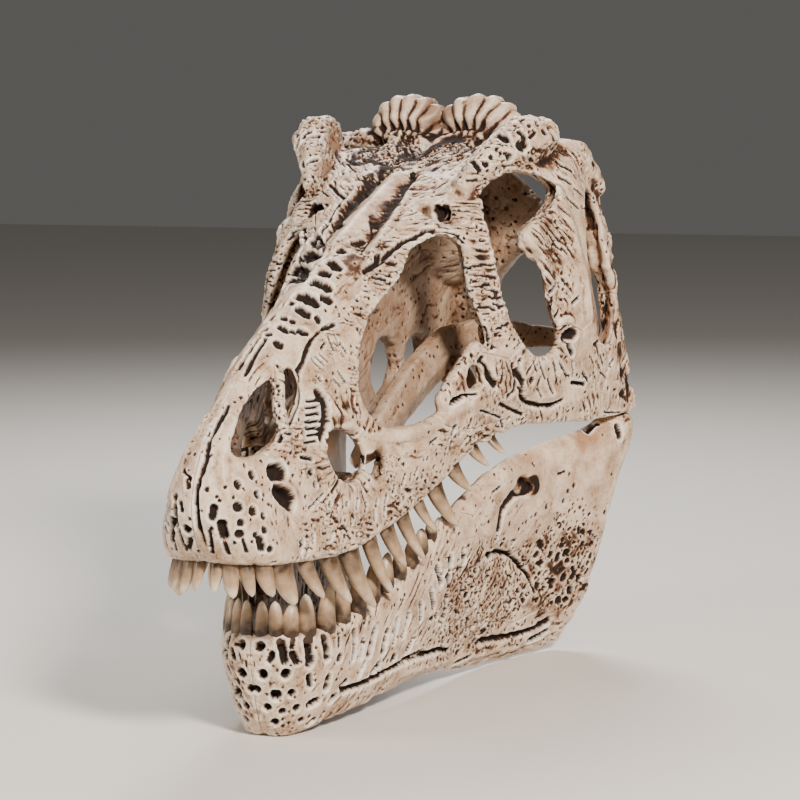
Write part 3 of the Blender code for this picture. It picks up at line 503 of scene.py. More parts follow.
# Pits are (across, down, radius, depth) and slots (across, down, across, down, radius, depth), where across
# and down are pixels of the view, and radius and depth are mm. What the view doesn't show well is set in mm
# instead, with x, y, z for each pixel. Grooves are (width, depth, points), and a negative depth raises a ridge.
marks = {
    "snoutPits": [
        (252, 474, 1.8, 1.8), (238, 484, 1.8, 2), (258, 495, 1.7, 1.8), (238, 507, 2, 2), (253, 511, 1.9, 2),
        (263, 516, 1.4, 1.5), (241, 523, 1.5, 1.6), (239, 534, 1.8, 1.6), (265, 530, 1.5, 1.4),
        (256, 535, 1.3, 1.2), (260, 540, 262, 548, 1.7, 1.8), (270, 549, 1.4, 1.4),
        (214, 509, 213, 517, 1.6, 2), (222, 524, 224, 536, 1.9, 2.2),
        (19.3, 25, 118.5, 20.7, 30, 118.5, 3.3, 4), (20, 26, 110, 21.5, 32, 106, 3.9, 4.5),
        (210, 532, 212, 552, 0.8, 0.9), (224, 541, 228, 553, 0.8, 0.8), (243, 540, 246, 552, 0.7, 0.8),
        (175, 497, 1.8, 1.8), (187, 480, 188, 486, 1.2, 1), (180, 503, 181, 510, 1.2, 1.2),
        (174, 514, 176, 523, 1.6, 1.8), (186, 529, 1.8, 1.8), (190, 540, 188, 548, 1.2, 1.2),
        (171, 530, 172, 540, 1.2, 1.2), (166, 512, 168, 524, 0.8, 1), (169, 506, 1, 1)],
    "nasalPits": [
        (325, 273, 2.4, 2.6), (315, 282, 326, 287, 2.4, 2.8), (303, 296, 314, 301, 2.8, 3),
        (327, 298, 2.4, 2.5), (300, 309, 306, 314, 2.1, 2.2), (331, 262, 336, 267, 2, 2),
        (341, 252, 1.8, 1.5), (309, 321, 313, 328, 1.5, 2), (318, 319, 1.5, 1.5),
        (301, 331, 305, 338, 1.4, 2), (296, 342, 2.8, 2.6), (289, 331, 295, 332, 1.1, 1.3),
        (279, 345, 1.9, 1.6), (249, 341, 252, 337, 1.1, 1.2), (282, 327, 285, 330, 1.7, 2),
        (268, 334, 1.3, 1), (313, 238, 318, 243, 2.3, 2.5), (306, 254, 314, 258, 2.7, 2.6),
        (293, 269, 305, 272, 2.4, 2.6), (287, 281, 303, 279, 2.6, 2.6), (285, 292, 2.8, 2.5),
        (276, 304, 2.4, 2.2), (290, 303, 1.5, 1), (284, 318, 1.5, 1.2), (292, 321, 1.3, 1),
        (270, 318, 1.9, 2), (264, 330, 1.5, 1.5), (353, 243, 362, 238, 1.2, 1),
        (343, 228, 338, 222, 1.4, 1.2)],
    "maxillaPits": [
        (31.5, 94, 115, 31.5, 93.5, 112, 3.2, 3.5), (306, 401, 318, 400, 0.8, 1.8),
        (305, 408, 319, 407, 0.8, 2), (306, 415, 319, 414, 0.8, 2), (305, 422, 320, 421, 0.8, 2),
        (306, 429, 320, 428, 0.8, 2), (307, 436, 320, 435, 0.8, 1.8), (300, 457, 313, 459, 1, 1.6),
        (304, 443, 316, 441, 0.7, 1.2), (311, 472, 1.7, 1.7), (315, 485, 1.8, 1.8), (294, 503, 1.5, 1.3),
        (323, 494, 309, 509, 0.7, 1.3), (330, 504, 1.5, 1.8), (347, 504, 1.4, 1.5),
        (357, 499, 356, 508, 0.9, 1.2), (366, 503, 365, 511, 0.9, 1), (377, 499, 376, 506, 0.9, 1.2),
        (386, 495, 385, 502, 0.9, 1.2), (394, 486, 393, 492, 1, 1.2), (404, 477, 402, 484, 1, 1.2),
        (411, 474, 410, 480, 0.9, 1.1), (417, 468, 415, 474, 0.9, 1.1), (422, 477, 1.1, 1.2),
        (418, 499, 1, 1.1), (403, 498, 1.1, 1.1), (411, 491, 0.9, 1), (427, 459, 1.1, 1.2), (436, 455, 1, 1),
        (441, 461, 1, 1), (446, 448, 1.1, 1), (374, 512, 374, 519, 1, 1.4), (384, 508, 384, 515, 1, 1.6),
        (392, 519, 1.2, 1), (401, 512, 1.3, 1), (385, 524, 0.9, 0.8), (399, 504, 1.1, 1.2),
        (362, 525, 0.9, 1), (353, 517, 0.9, 0.9), (333, 531, 330, 539, 1, 1.6), (339, 541, 0.9, 1),
        (344, 537, 0.9, 0.9), (357, 535, 1.3, 1.5), (352, 533, 0.8, 0.8), (345, 547, 0.9, 0.9),
        (302, 542, 296, 552, 1.7, 1.8), (313, 535, 313, 543, 0.9, 1.5), (309, 546, 307, 553, 0.8, 1.2),
        (312, 360, 320, 368, 0.6, 1.1), (316, 357, 324, 365, 0.6, 1.1), (320, 354, 328, 362, 0.6, 1.1),
        (320, 379, 1.4, 1.8), (318, 391, 0.9, 1.2), (321, 349, 326, 342, 0.8, 1.2),
        (328, 337, 333, 350, 0.6, 0.9), (334, 334, 339, 346, 0.6, 0.9), (341, 344, 346, 352, 0.9, 1.4),
        (357, 347, 361, 349, 0.8, 1), (338, 372, 345, 382, 0.7, 1), (334, 380, 340, 386, 0.7, 1),
        (358, 283, 1.1, 1.2), (364, 280, 1, 1.1), (365, 287, 0.9, 1), (366, 300, 0.9, 1), (357, 301, 1, 1.1),
        (362, 308, 0.9, 1), (354, 309, 0.9, 1), (349, 315, 0.9, 1), (430, 444, 436, 438, 0.8, 1),
        (462, 444, 468, 436, 1, 1.2), (452, 434, 456, 426, 1.1, 1.2), (460, 434, 1.1, 1.2),
        (475, 438, 1, 1.2), (448, 440, 0.9, 1)],
    "jugalPits": [
        (52.3, 160.5, 146, 4.2, 2.6), (490, 393, 5, -1.6), (493, 394, 1.4, 1.4),
        (450, 403, 462, 397, 1.6, 2.4), (463, 396, 478, 394, 0.9, 1.6), (480, 411, 490, 414, 0.7, 1.2),
        (492, 414, 501, 418, 0.7, 1.2), (509, 418, 1.4, 1.2), (502, 421, 503, 428, 0.9, 1),
        (497, 425, 0.8, 0.8), (532, 381, 2.1, 1.4), (537, 389, 540, 396, 0.8, 1.2),
        (548, 379, 552, 393, 0.8, 1.1), (540, 364, 545, 380, 0.7, 1.1), (533, 362, 537, 372, 0.7, 1),
        (560, 362, 567, 376, 1, 1.6), (572, 362, 573, 376, 0.9, 1.3), (571, 383, 584, 384, 1.2, 2),
        (583, 372, 588, 380, 1, 1.2), (590, 376, 1.1, 1), (608, 388, 1.2, 1.4), (601, 384, 0.9, 1),
        (585, 392, 0.9, 1), (553, 362, 556, 372, 0.7, 1), (600, 372, 607, 378, 0.7, 0.8)],
    "lacrimalPits": [
        (443, 212, 4.4, 3.2), (483, 329, 487, 341, 1.2, 1.6), (493, 348, 1.4, 1.4), (489, 345, 1.1, 1.2),
        (520, 361, 1.8, 2.2), (524, 341, 0.8, 1), (529, 351, 0.9, 1.1), (512, 345, 6.5, -1.4),
        (531, 356, 0.9, 1.2), (60.5, 175.5, 174, 1, 1.2), (478, 308, 490, 307, 0.7, 1.2),
        (463, 306, 474, 311, 0.7, 1), (458, 267, 470, 268, 0.8, 1.2), (459, 293, 472, 290, 0.7, 1.2),
        (452, 239, 466, 240, 1.2, 1.6), (480, 240, 485, 240, 0.9, 1.4), (443, 232, 458, 235, 0.8, 1.4),
        (465, 272, 0.9, 1), (470, 283, 0.8, 0.8), (455, 262, 462, 258, 0.7, 1)],
    "postorbitalPits": [
        (566, 337, 574, 334, 2.8, 3.6), (568, 345, 572, 353, 1.4, 2), (522, 254, 533, 257, 1.2, 2),
        (535, 263, 544, 262, 0.9, 1.7), (542, 278, 550, 273, 1, 1.9), (548, 292, 559, 285, 1, 1.7),
        (573, 303, 578, 297, 0.9, 1.2), (545, 305, 552, 301, 0.7, 1), (553, 298, 549, 306, 0.7, 0.8),
        (560, 310, 554, 318, 0.8, 0.9), (593, 345, 600, 340, 0.8, 0.8), (596, 344, 1.2, 0.8),
        (560, 165, 572, 171, 0.8, 0.9), (558, 176, 571, 184, 0.8, 1), (566, 198, 578, 208, 0.8, 1),
        (574, 188, 584, 197, 0.7, 0.9), (582, 207, 589, 215, 0.7, 0.8)],
    "hornPits": [
        (536, 119, 1.9, 2.4), (543, 117, 1.9, 2.4), (529, 125, 1.2, 1.3), (519, 131, 524, 137, 1.3, 1.8),
        (522, 145, 3, 3), (497, 135, 504, 137, 2.1, 2.4), (511, 157, 2.1, 2.2), (486, 164, 1.6, 1.6),
        (530, 137, 535, 132, 0.9, 1), (553, 152, 1, 1), (484, 143, 1.6, 1.6), (470, 160, 478, 168, 1.4, 1.6)],
    "squamosalPits": [
        (605, 218, 2.8, 3), (583, 206, 1.1, 1.2), (601, 170, 1.5, 1.6), (622, 362, 627, 350, 1, 1),
        (606, 372, 613, 358, 0.8, 1), (624, 320, 626, 334, 1, 1)],
    "rearPits": [
        (617, 427, 620, 435, 2.5, 2.8), (587, 430, 592, 424, 2.2, 2.4), (597, 424, 1.5, 1.2),
        (624, 405, 1.3, 1.2), (604, 413, 622, 413, 0.7, 1.4), (605, 512, 1.5, 1.6),
        (607, 505, 608, 518, 1, 1.4), (611, 474, 0.8, 0.7)],
    "surangularPits": [
        (498, 488, 1.1, 1), (492, 493, 500, 487, 0.7, 1), (563, 501, 1.4, 1.4), (568, 491, 1.4, 1.2),
        (574, 485, 1.4, 1.2), (536, 514, 1.4, 1), (546, 507, 1.2, 0.8), (526, 522, 1.1, 1),
        (519, 529, 1.2, 1.2), (512, 470, 0.9, 0.8), (533, 463, 0.9, 0.8), (534, 466, 0.8, 0.8),
        (558, 474, 564, 472, 0.7, 0.6), (569, 474, 0.8, 0.7), (598, 528, 0.9, 0.8)],
    "jawSlots": [
        (260, 646, 2, 2.6), (270, 660, 272, 654, 1.3, 2), (281, 642, 285, 661, 1.7, 2.6),
        (293, 640, 292, 647, 1, 1.4), (293, 654, 297, 662, 1.5, 2), (308, 642, 310, 662, 2, 2.8),
        (325, 638, 327, 658, 1.7, 2.6), (339, 634, 339, 646, 0.9, 1.4), (340, 657, 1.8, 2),
        (354, 632, 353, 658, 1.4, 2.6), (363, 640, 361, 657, 1.2, 2.4), (374, 631, 369, 654, 1.8, 2.7),
        (387, 632, 383, 650, 1.9, 2.7), (397, 619, 394, 642, 1.2, 2.2), (408, 616, 403, 636, 1.4, 2.4),
        (412, 640, 408, 650, 1.4, 2), (421, 604, 420, 619, 1.3, 2.2), (431, 590, 433, 607, 1.4, 2.6),
        (437, 568, 441, 584, 1.6, 2.6), (451, 558, 449, 580, 1.5, 2.6), (463, 550, 464, 562, 1.5, 2.2),
        (403, 661, 422, 652, 1.4, 2.2), (393, 658, 2, 1.8), (372, 673, 378, 665, 1.6, 2.2),
        (359, 674, 364, 663, 1.2, 2.2)],
    "chinPits": [
        (262, 675, 2.6, 2.8), (286, 674, 2.5, 2.7), (309, 677, 310, 685, 1.7, 2.5),
        (328, 678, 326, 688, 2, 2.7), (345, 681, 341, 687, 1.7, 1.7), (257, 690, 2, 2.2), (276, 695, 2.8, 3),
        (292, 693, 2, 2.4), (310, 705, 317, 701, 2.1, 2.6), (330, 701, 335, 696, 1.7, 2.5), (267, 707, 2, 2),
        (282, 711, 1.8, 1.8), (297, 708, 2, 1.8), (275, 722, 2.1, 1.8), (301, 720, 1.7, 1.5),
        (308, 724, 314, 719, 1.4, 1.6), (230, 671, 1.7, 2), (235, 692, 1.6, 1.8), (241, 696, 1.4, 1.4),
        (-9, 47.5, 13.5, 1.6, 1.8), (238, 714, 1.7, 1.8), (232, 655, 1.3, 1), (226, 640, 1, 1), (236, 645, 1.1, 1)],
    "jawPits": [
        (431, 563, 0.9, 1), (527, 641, 546, 630, 1.5, 2.4), (455, 662, 468, 656, 1.4, 2),
        (452, 668, 462, 667, 1.1, 1.6), (548, 590, 2.5, 2.6), (541, 598, 2.5, 2.2), (553, 582, 2, 2),
        (578, 578, 2.5, 2.6), (570, 590, 2.5, 2.4), (566, 600, 2, 2), (588, 563, 1.5, 1.6),
        (414, 663, 0.9, 1), (430, 655, 0.9, 1), (512, 640, 1.1, 1)],
    "grooves": [
        (1.7, 1.6, [(333, 325), (320, 330), (312, 340), (306, 352), (303, 362), (297, 372), (295, 385),
            (296, 400), (290, 422), (279, 440)]),
        (2, 2.4, [(378, 256), (376, 264), (366, 270), (357, 284), (349, 299)]),
        (1, 1, [(370, 222), (371, 235), (362, 250), (360, 258)]),
        (1.7, 1.7, [(458, 238), (440, 233), (425, 230), (415, 237), (402, 243), (390, 252), (380, 262)]),
        (1.5, 1.5, [(265, 338), (255, 355), (248, 370), (243, 385), (241, 392)]),
        (2.6, 2.4, [(474, 352), (481, 362), (488, 375), (495, 385)]),
        (1.8, 1.6, [(512, 365), (516, 378), (514, 390), (508, 396)]),
        (2.4, 2.2, [(517, 370), (522, 382), (521, 392)]),
        (1.6, 1.8, [(519, 388), (521, 396), (527, 402), (540, 406), (553, 405), (562, 399)]),
        (1.3, 1.2, [(500, 404), (512, 410), (522, 414)]),
        (3.2, 2.2, [(527, 488), (515, 493), (508, 501), (503, 508), (501, 520), (499, 528)]),
        (1.6, 2.2, [(485, 556), (497, 552), (510, 554), (520, 562), (530, 577), (535, 590), (537, 603)]),
        (0.8, 0.7, [(226, 621), (236, 628), (250, 634), (262, 634), (283, 635), (300, 636), (318, 634),
            (333, 630), (350, 620), (380, 611), (400, 600), (425, 585), (440, 573), (460, 556)]),
        (2.2, 2.2, [(342, 691), (360, 685), (380, 675), (400, 664), (420, 656), (440, 650), (460, 645),
            (480, 641), (505, 637), (530, 630), (548, 621)]),
        (1.6, 1.9, [(236, 392), (225, 412), (215, 428), (209, 440), (206, 460), (199, 480), (196, 495),
            (196, 512), (199, 528), (204, 545)]),
        (1.2, 1.2, [(-6.5, -3.5, 122), (-1.5, -7, 119.5)]),
        (1.2, 1.1, [(-65, 203.5, 212), (-54.5, 178, 202.5)]),
        (1.4, 1.2, [(330, 185), (345, 200), (334, 215), (325, 228), (318, 238)]),
        (2.6, -1.4, [(553, 330), (560, 322), (568, 319), (576, 325)]),
        (1.4, 1.2, [(450, 270), (453, 285), (460, 305), (470, 325)]),
        (3.4, 3.2, [(21, 66, 147), (22, 68, 144), (22.6, 68, 141), (23, 67.5, 138), (23.5, 66.5, 135),
            (24, 65, 132), (24.3, 62.5, 129)])],
}
carvings = {name: [(lineInSpace if name == "grooves" else markInSpace)(row) for row in rows]
            for name, rows in marks.items()}
oneSided = ["nasalPits"]    # marks that the other side doesn't share
pitWidth = {"nasalPits": 1.5, "snoutPits": 1.25, "jawSlots": 1.25, "hornPits": 1.2, "postorbitalPits": 1.25}
# how much deeper than its row a mark is cut, where its edge falls and its low lip stands in radii, how high the
# lip is for each mm of depth, and how ragged the edge is
pitForm = {"depth": 1.35, "edge": (0.62, 1.12), "knob": (0.1, 1.1), "lip": 0.06, "lipAt": 1.32,
           "lipWidth": 0.22, "lipDepth": 2.2, "through": 0.15, "ragged": 0.10, "raggedMm": 1.7}
grooveForm = {"depth": 1.2, "edge": (0.35, 1.0), "lip": 0.05, "lipAt": 1.45, "lipWidth": 0.3, "ragged": 0.35,
              "raggedMm": 2.4}


def dig(p, n, move, rows, side, both=True, widen=1.0):
    for row in rows:
        if (row[0] < 0) != (side < 0) and (row[0] < 0 or not both):    # a negative x is on the right side only
            continue
        radius, depth = row[-2] * widen, row[-1] * (pitForm["depth"] if row[-1] > 0 else 1)
        first, last = np.array(row[:3]), np.array(row[-5:-2])
        if both and side < 0 and row[0] > 0:
            first, last = first * (-1, 1, 1), last * (-1, 1, 1)
        centre = (first + last) / 2
        reach = np.linalg.norm(last - first) / 2 + radius * 1.9 + 1.5
        near = np.flatnonzero((np.abs(p - centre) < reach).all(1))
        if not len(near):
            continue
        q = p[near]
        run = last - first
        length = max(float(run @ run), 1e-9)
        t = np.clip((q - first) @ run / length, 0, 1)
        off = q - first - t[:, None] * run
        nearest = near[np.argmin((off ** 2).sum(1))]
        out = n[nearest]
        flat = off - (off @ out)[:, None] * out    # measured along the surface, so that a pit keeps its width
        away = np.sqrt((flat ** 2).sum(1) + pitForm["through"] * (off @ out) ** 2) / radius
        away = away + pitForm["ragged"] * cloudy(q, pitForm["raggedMm"], 5)
        face = ease(n[near] @ out, 0.0, 0.4)
        if depth > 0:
            bowl = 1 - ease(away, *pitForm["edge"])
            lip = np.exp(-((away - pitForm["lipAt"]) / pitForm["lipWidth"]) ** 2)
            lip = pitForm["lip"] * min(abs(depth), pitForm["lipDepth"]) * lip
            move[near] = np.minimum(move[near], move[near] * 0.3 - face * depth * bowl) + face * lip
        else:
            move[near] -= face * depth * (1 - ease(away, *pitForm["knob"]))


def score(p, n, move, grooves, side, soft=False):    # soft: a rounded swell or dip and no cut
    for width, depth, path in grooves:
        own = np.array([np.array(c) * ((-1, 1, 1) if side < 0 and path[0][0] > 0 else (1, 1, 1)) for c in path])
        if path[0][0] < -3 and side > 0:
            continue
        reach = width * 3 + 2
        near = np.flatnonzero(((p > own.min(0) - reach) & (p < own.max(0) + reach)).all(1))
        if not len(near):
            continue
        q = p[near]
        best = pathDistance(q, own)
        if soft:
            change = depth * np.exp(-(best / width) ** 2)
        else:
            best = best + grooveForm["ragged"] * cloudy(q, grooveForm["raggedMm"], 9)
            low, high = grooveForm["edge"]
            change = depth * grooveForm["depth"] * (1 - ease(best, low * width, high * width))
            lip = np.exp(-((best / width - grooveForm["lipAt"]) / grooveForm["lipWidth"]) ** 2)
            change -= grooveForm["lip"] * depth * lip
        out = ease(n[near, 0] * np.sign(q[:, 0]) + 0.7 * n[near, 2] - 0.5 * n[near, 1], 0.1, 0.5)
        move[near] -= change * out


def bothSides(p):    # places or directions turned over to the animal's left
    return np.abs(p * (1, 0, 0)) + p * (0, 1, 1)


def bent(p, seed):    # how far the grain wanders
    return 0.9 * cloudy(p, 13.0, seed + 5) + 0.3 * cloudy(p, 5.0, seed + 6)


def grain(q, bone, seed=11):    # stretched coordinates that run with the bone's grain, one unit to a stroke
    direction, spacing, length = bone["strokes"][:3]
    d = np.array(direction, float)
    d /= np.linalg.norm(d)
    other = np.cross(d, (0.31, 0.52, 0.79))
    other /= np.linalg.norm(other)
    third = np.cross(d, other)
    bend = bent(q, seed)
    flow = np.stack([q @ d / length, q @ other / spacing + bend, q @ third / spacing + bend], 1)
    for centre, reach, gap, long in bone.get("fans", []):    # strokes that spread from a centre
        away = q - centre
        r = np.linalg.norm(away[:, 1:], axis=1)
        near = r < reach * (1 + 0.25 * cloudy(q, 7.0, 3))
        angle = np.arctan2(away[:, 2], away[:, 1]) * reach * 0.6
        spread = np.stack([r / long, angle / gap + 0.5 * bend, away[:, 0] / (2 * gap)], 1)
        flow[near] = spread[near]
    return flow


def oval(p, centre, radii, ragged=0.15, seed=0):    # 1 inside an egg of space, 0 outside, with a ragged border
    reach = np.linalg.norm((bothSides(p) - centre) / radii, axis=1)
    return 1 - ease(reach + ragged * cloudy(p, 6.0, seed), 0.75, 1.15)


def sponge(p, size, depth, seed):    # crowded small pits of uneven size
    reach, own = cells(p + 0.5 * cloudy(p, 3.0, seed)[:, None], size, seed)
    return -depth * (0.25 + 0.75 * own) * (1 - ease(reach, 0.10 + 0.20 * own, 0.26 + 0.30 * own))


# each bone: direction, spacing, length and depth in mm of its tool strokes; size and height of its lumps; share
# of pores; and the strokes' strength in the finish
boneRelief = {bone: {"strokes": strokes, "lumps": (size, height), "pores": pores, "lined": lined}
              for bone, *strokes, size, height, pores, lined in (
    ("premaxilla", (0.1, 0.25, 1.0), 1.8, 12, 0.25, 9, 0.55, 0.45, 0.35),
    ("maxilla", (0.35, 0.75, -0.2), 1.3, 6, 0.62, 10, 0.55, 0.45, 1.0),
    ("nasals", (0.1, 0.9, 0.4), 1.6, 12, 0.35, 8, 0.6, 0.3, 0.5),
    ("lacrimal", (0.72, 0.68, -0.12), 1.15, 7, 0.8, 9, 0.6, 0.35, 1.0),
    ("postorbital", (0.45, 0.6, -0.65), 1.3, 9, 0.6, 10, 0.7, 0.25, 0.8),
    ("squamosal", (0.1, 0.5, 0.85), 1.7, 10, 0.45, 9, 1.3, 0.5, 0.6),
    ("jugal", (0.2, 0.35, -0.95), 1.35, 8, 0.55, 9, 0.55, 0.35, 0.75),
    ("quadratojugal", (0.1, 0.3, 0.95), 1.7, 10, 0.5, 9, 1.2, 0.5, 0.6),
    ("skull_roof", (0.6, 0.75, 0.3), 1.4, 7, 0.55, 8, 0.8, 0.6, 0.8),
    ("dentary", (0.15, 0.55, 0.8), 1.6, 9, 0.38, 10, 0.55, 0.45, 0.5),
    ("surangular", (0.2, 0.7, 0.55), 2.2, 12, 0.18, 13, 0.6, 0.15, 0.25),
    ("angular", (0.2, 0.9, 0.2), 1.8, 9, 0.4, 9, 0.8, 0.6, 0.5),
    ("braincase", (0.1, 0.9, 0.3), 2.6, 14, 0.3, 12, 1.0, 0.35, 0.4),
    ("palate", (0.1, 1, 0), 2.0, 12, 0.25, 9, 0.4, 0.2, 0.4),
    ("pterygoid", (0.1, 0.8, 0.5), 2.6, 14, 0.2, 12, 0.8, 0.2, 0.3),
    ("quadrate", (0, 0.1, 1), 2.0, 12, 0.25, 9, 0.5, 0.2, 0.4),
)}
# strokes that spread from a place: centre, reach, gap and length in mm
boneRelief["maxilla"]["fans"] = [((28, 80, 117), 29, 2.0, 12)]
boneRelief["jugal"]["fans"] = [((66, 211, 160), 27, 1.7, 9)]
# places that were left smooth: centre, radii
smoothPlaces = [((66, 245, 92), (30, 42, 17)), ((38, 105, 122), (12, 30, 7)), ((50, 145, 131), (14, 24, 6)),
                ((0, 165, 222), (7, 40, 22)), ((12, 62, 166), (10, 18, 16)), ((77, 240, 190), (8, 12, 50)),
                ((72, 222, 131), (12, 30, 6)), ((17, 248, 264), (30, 16, 15))]


def general(p, q, flow, bone):    # lumps, tool strokes and pores, all over a bone
    size, height = bone["lumps"]
    plain = np.zeros(len(p))
    for centre, radii in smoothPlaces:
        plain = np.maximum(plain, oval(p, centre, radii, 0.25, 8))
    move = height * rough(p, size, 3, 3) * (1 - 0.5 * plain)
    depth = bone["strokes"][3]
    where = ease(cloudy(p, 12.0, 31), -0.75, 0.1) * (1 - 0.85 * plain)
    wave = cloudy(flow, 1.0, 11)
    thin = 1 - ease(np.abs(cloudy(flow * (1.3, 0.8, 0.8), 1.0, 13)), 0.0, 0.25)
    move -= depth * where * (ease(wave, 0.0, 0.6) * 1.5 + 0.7 * thin - 0.6)
    pores, own = cells(p, 3.4, 21)
    move -= bone["pores"] * 2.6 * (own > 0.55) * (1 - ease(pores, 0.16, 0.32)) * (1 - plain)
    return move, where


# broad forms on both sides: half width, depth (less than 0 is raised), line in mm or in pixels of the view
forms = [lineInSpace(row) for row in [
    (4.2, -2.8, [(0, 128, 206), (0, 148, 215), (0, 170, 225), (0, 194, 234)]),
    (3, 3, [(10.5, 131, 206), (10.5, 146, 213), (10, 165, 221), (9, 182, 229), (7, 200, 236)]),
    (1.8, -1.5, [(15.5, 132, 203.5), (15.5, 147, 212), (15, 162.5, 220.5), (14, 179, 228), (14, 192, 233)]),
    (2.2, -1.8, [(4, 236, 250), (14, 240, 254), (24, 239, 252), (36, 238, 249), (47, 226, 255)]),
    (3, -1.6, [(556, 192), (566, 215), (574, 240), (581, 265), (586, 290), (589, 316)]),
    (6, 2, [(546, 215), (553, 235), (557, 258), (561, 280), (565, 300)]),
    (4.5, 1.8, [(50.5, 198.5, 58), (52.5, 213, 54), (55, 227, 46), (57, 238, 36), (55.5, 248, 26)]),
    (2.2, -1.5, [(400, 674), (430, 664), (460, 656), (490, 651), (520, 645), (540, 636)]),
    (2.2, -1.2, [(522, 386), (532, 394), (545, 397), (558, 392)]),
    (2.6, -1.2, [(31.5, 96, 127), (35, 107, 124), (39, 119.5, 124), (44, 140.5, 126.5), (47.5, 145, 131),
        (52, 158.5, 133.5)]),
    (2.2, -1.4, [(6, 15.5, 141), (7, 7.5, 133.5), (8.5, 1.5, 126.5), (10.5, -1, 118.5), (13, -2.5, 111)]),
    (3, -1.3, [(52, 168, 196), (54, 170, 186), (56, 173, 174), (60, 179, 163)]),
    (4, -1.8, [(25.5, 75, 138), (28.5, 84, 134.5)]), (1.6, -1, [(24, 73, 131), (27, 82, 132), (31, 92, 127)]),
]]
# places where brown stain and painted shade are laid on: centre, radii, strength
stainAndShadeAreas = [
    ((57, 221, 88), (5, 5.5, 5), 1.0), ((35, 172, 218), (5, 6, 5), 0.8), ((36, 97, 113), (8, 6, 8), 0.6),
    ((15, 219, 245), (20, 20, 14), 0.85), ((10, 170, 224), (5, 42, 22), 0.75),
    ((26, 78, 133), (7, 12, 8), 0.3), ((72, 213, 205), (9, 9, 24), 0.3),
    ((47, 190, 40), (36, 46, 24), 0.42), ((64, 250, 42), (26, 26, 22), 0.5),
    ((-8, 44, 30), (9, 14, 24), 0.35), ((53, 155, 148), (8, 16, 12), 0.3),
    ((56, 232, 245), (18, 28, 8), 0.4), ((80, 284, 150), (12, 10, 42), 0.4),
    ((14, 240, 253), (28, 7, 8), 0.7), ((12, 124, 200), (14, 24, 12), 0.35),
    ((22, 30, 108), (7, 8, 12), 0.4), ((66, 280, 225), (14, 12, 20), 0.4),
    ((54, 172, 182), (7, 9, 26), 0.22), ((44, 198, 14), (14, 60, 5), 0.35),
    ((36, 150, 92), (10, 50, 5), 0.25), ((44, 205, 226), (14, 26, 10), 0.3),
    ((62, 190, 140), (10, 14, 14), 0.3), ((74, 224, 160), (7, 9, 10), 0.35),
    ((34, 96, 92), (10, 40, 5), 0.22), ((20, 52, 41), (22, 40, 9), 0.3),
]
# each lobe's foot, ridges to a turn of the lobe, their height in mm, and how high up they begin
crestFan = {"centre": (17, 240, 240), "ridges": 25, "height": 0.75, "above": 250}


def roofRelief(p, q, n, fine):    # sponge over the eyes, and the crest's fans
    up = ease(n[:, 2], 0.1, 0.5)
    # two rough hollows over the eyes, full of small pits
    area = oval(p, (15, 219, 245), (15, 18, 14), 0.25, 3) * up
    fine += area * (sponge(p, 2.9, 2.6, 61) + sponge(p, 1.9, 1.4, 63) - 0.6)
    # the crest's two lobes spread like fans: ridges run out from the foot of each lobe
    cx, _, cz = crestFan["centre"]
    angle = np.arctan2(q[:, 0] - cx, q[:, 2] - cz)
    height = ease(q[:, 2], crestFan["above"] - 3, crestFan["above"] + 6) * ease(q[:, 1], 232, 242)
    ridge = np.cos(angle * crestFan["ridges"] + 2.2 * cloudy(p, 10.0, 71))
    fine += height * crestFan["height"] * (ridge * 0.8 - 0.3 * ease(-ridge, 0.5, 1.0) + 0.1)


def edgeRelief(p, fine):    # the rear rim of the cheeks and horns is knobbly
    rear = ease(p[:, 1], 258, 282) * ease(p[:, 2], 110, 122)
    fine += rear * 2.0 * rough(p, 7.0, 2, 81)
    horn = oval(p, (56, 228, 257), (20, 28, 15), 0.1, 4)
    fine += horn * (1.6 * rough(p, 6.0, 2, 83) + sponge(p, 5.0, 2.2, 85))
    brow = oval(p, (47, 196, 243), (12, 16, 9), 0.1, 4)
    fine += brow * (1.2 * rough(p, 4.0, 2, 87) + sponge(p, 3.2, 1.6, 88))


def jawRelief(p, n, fine):    # spongy patches on the rear of the jaw and on the chin
    out = ease(n[:, 0] * np.sign(p[:, 0]), 0.1, 0.5)
    area = oval(p, (47, 186, 40), (40, 46, 26), 0.35, 5) * out * ease(p[:, 2], 9, 16)
    fine += area * (sponge(p, 3.6, 3.6, 91) + sponge(p, 2.1, 1.6, 93) - 0.2)
    rear = oval(p, (64, 248, 50), (30, 26, 25), 0.35, 6) * out
    fine += rear * (sponge(p, 2.6, 2.2, 95) + sponge(p, 5.5, 2.0, 96))
    chin = oval(p, (-8, 44, 30), (9, 14, 24), 0.2, 7) * (p[:, 0] < -1)
    fine += chin * (sponge(p, 3.0, 1.6, 98) + 0.8 * rough(p, 5.0, 2, 99))
    rim = 1 - ease(np.abs(p[:, 2] - 4), 2.0, 6.0)
    fine += rim * 0.9 * rough(p, 6.0, 2, 97)


innerBones = ("braincase", "palate", "pterygoid", "quadrate")


def relief(simple, p, n, side):    # broad change, fine change, the grain's strength and its coordinates
    q = bothSides(p)
    bone = boneRelief[simple]
    flow = grain(q, bone)
    fine, where = general(p, q, flow, bone)
    broad = np.zeros(len(p))
    outer = simple not in innerBones
    if outer:
        score(q, n * (np.sign(p[:, :1]) * (1, 0, 0) + (0, 1, 1)), broad, forms, 1, soft=True)
    if simple in ("skull_roof", "lacrimal", "postorbital", "nasals"):
        roofRelief(p, q, n, fine)
    if simple in ("squamosal", "quadratojugal", "postorbital", "skull_roof", "lacrimal"):
        edgeRelief(p, fine)
    if simple in ("dentary", "surangular", "angular"):
        jawRelief(p, n, fine)
    if outer:
        for name, rows in carvings.items():
            if name == "grooves":
                score(p, n, fine, rows, side)
            else:
                dig(p, n, fine, rows, side, name not in oneSided, pitWidth.get(name, 1.0))
    return broad, fine, where * bone["lined"], flow


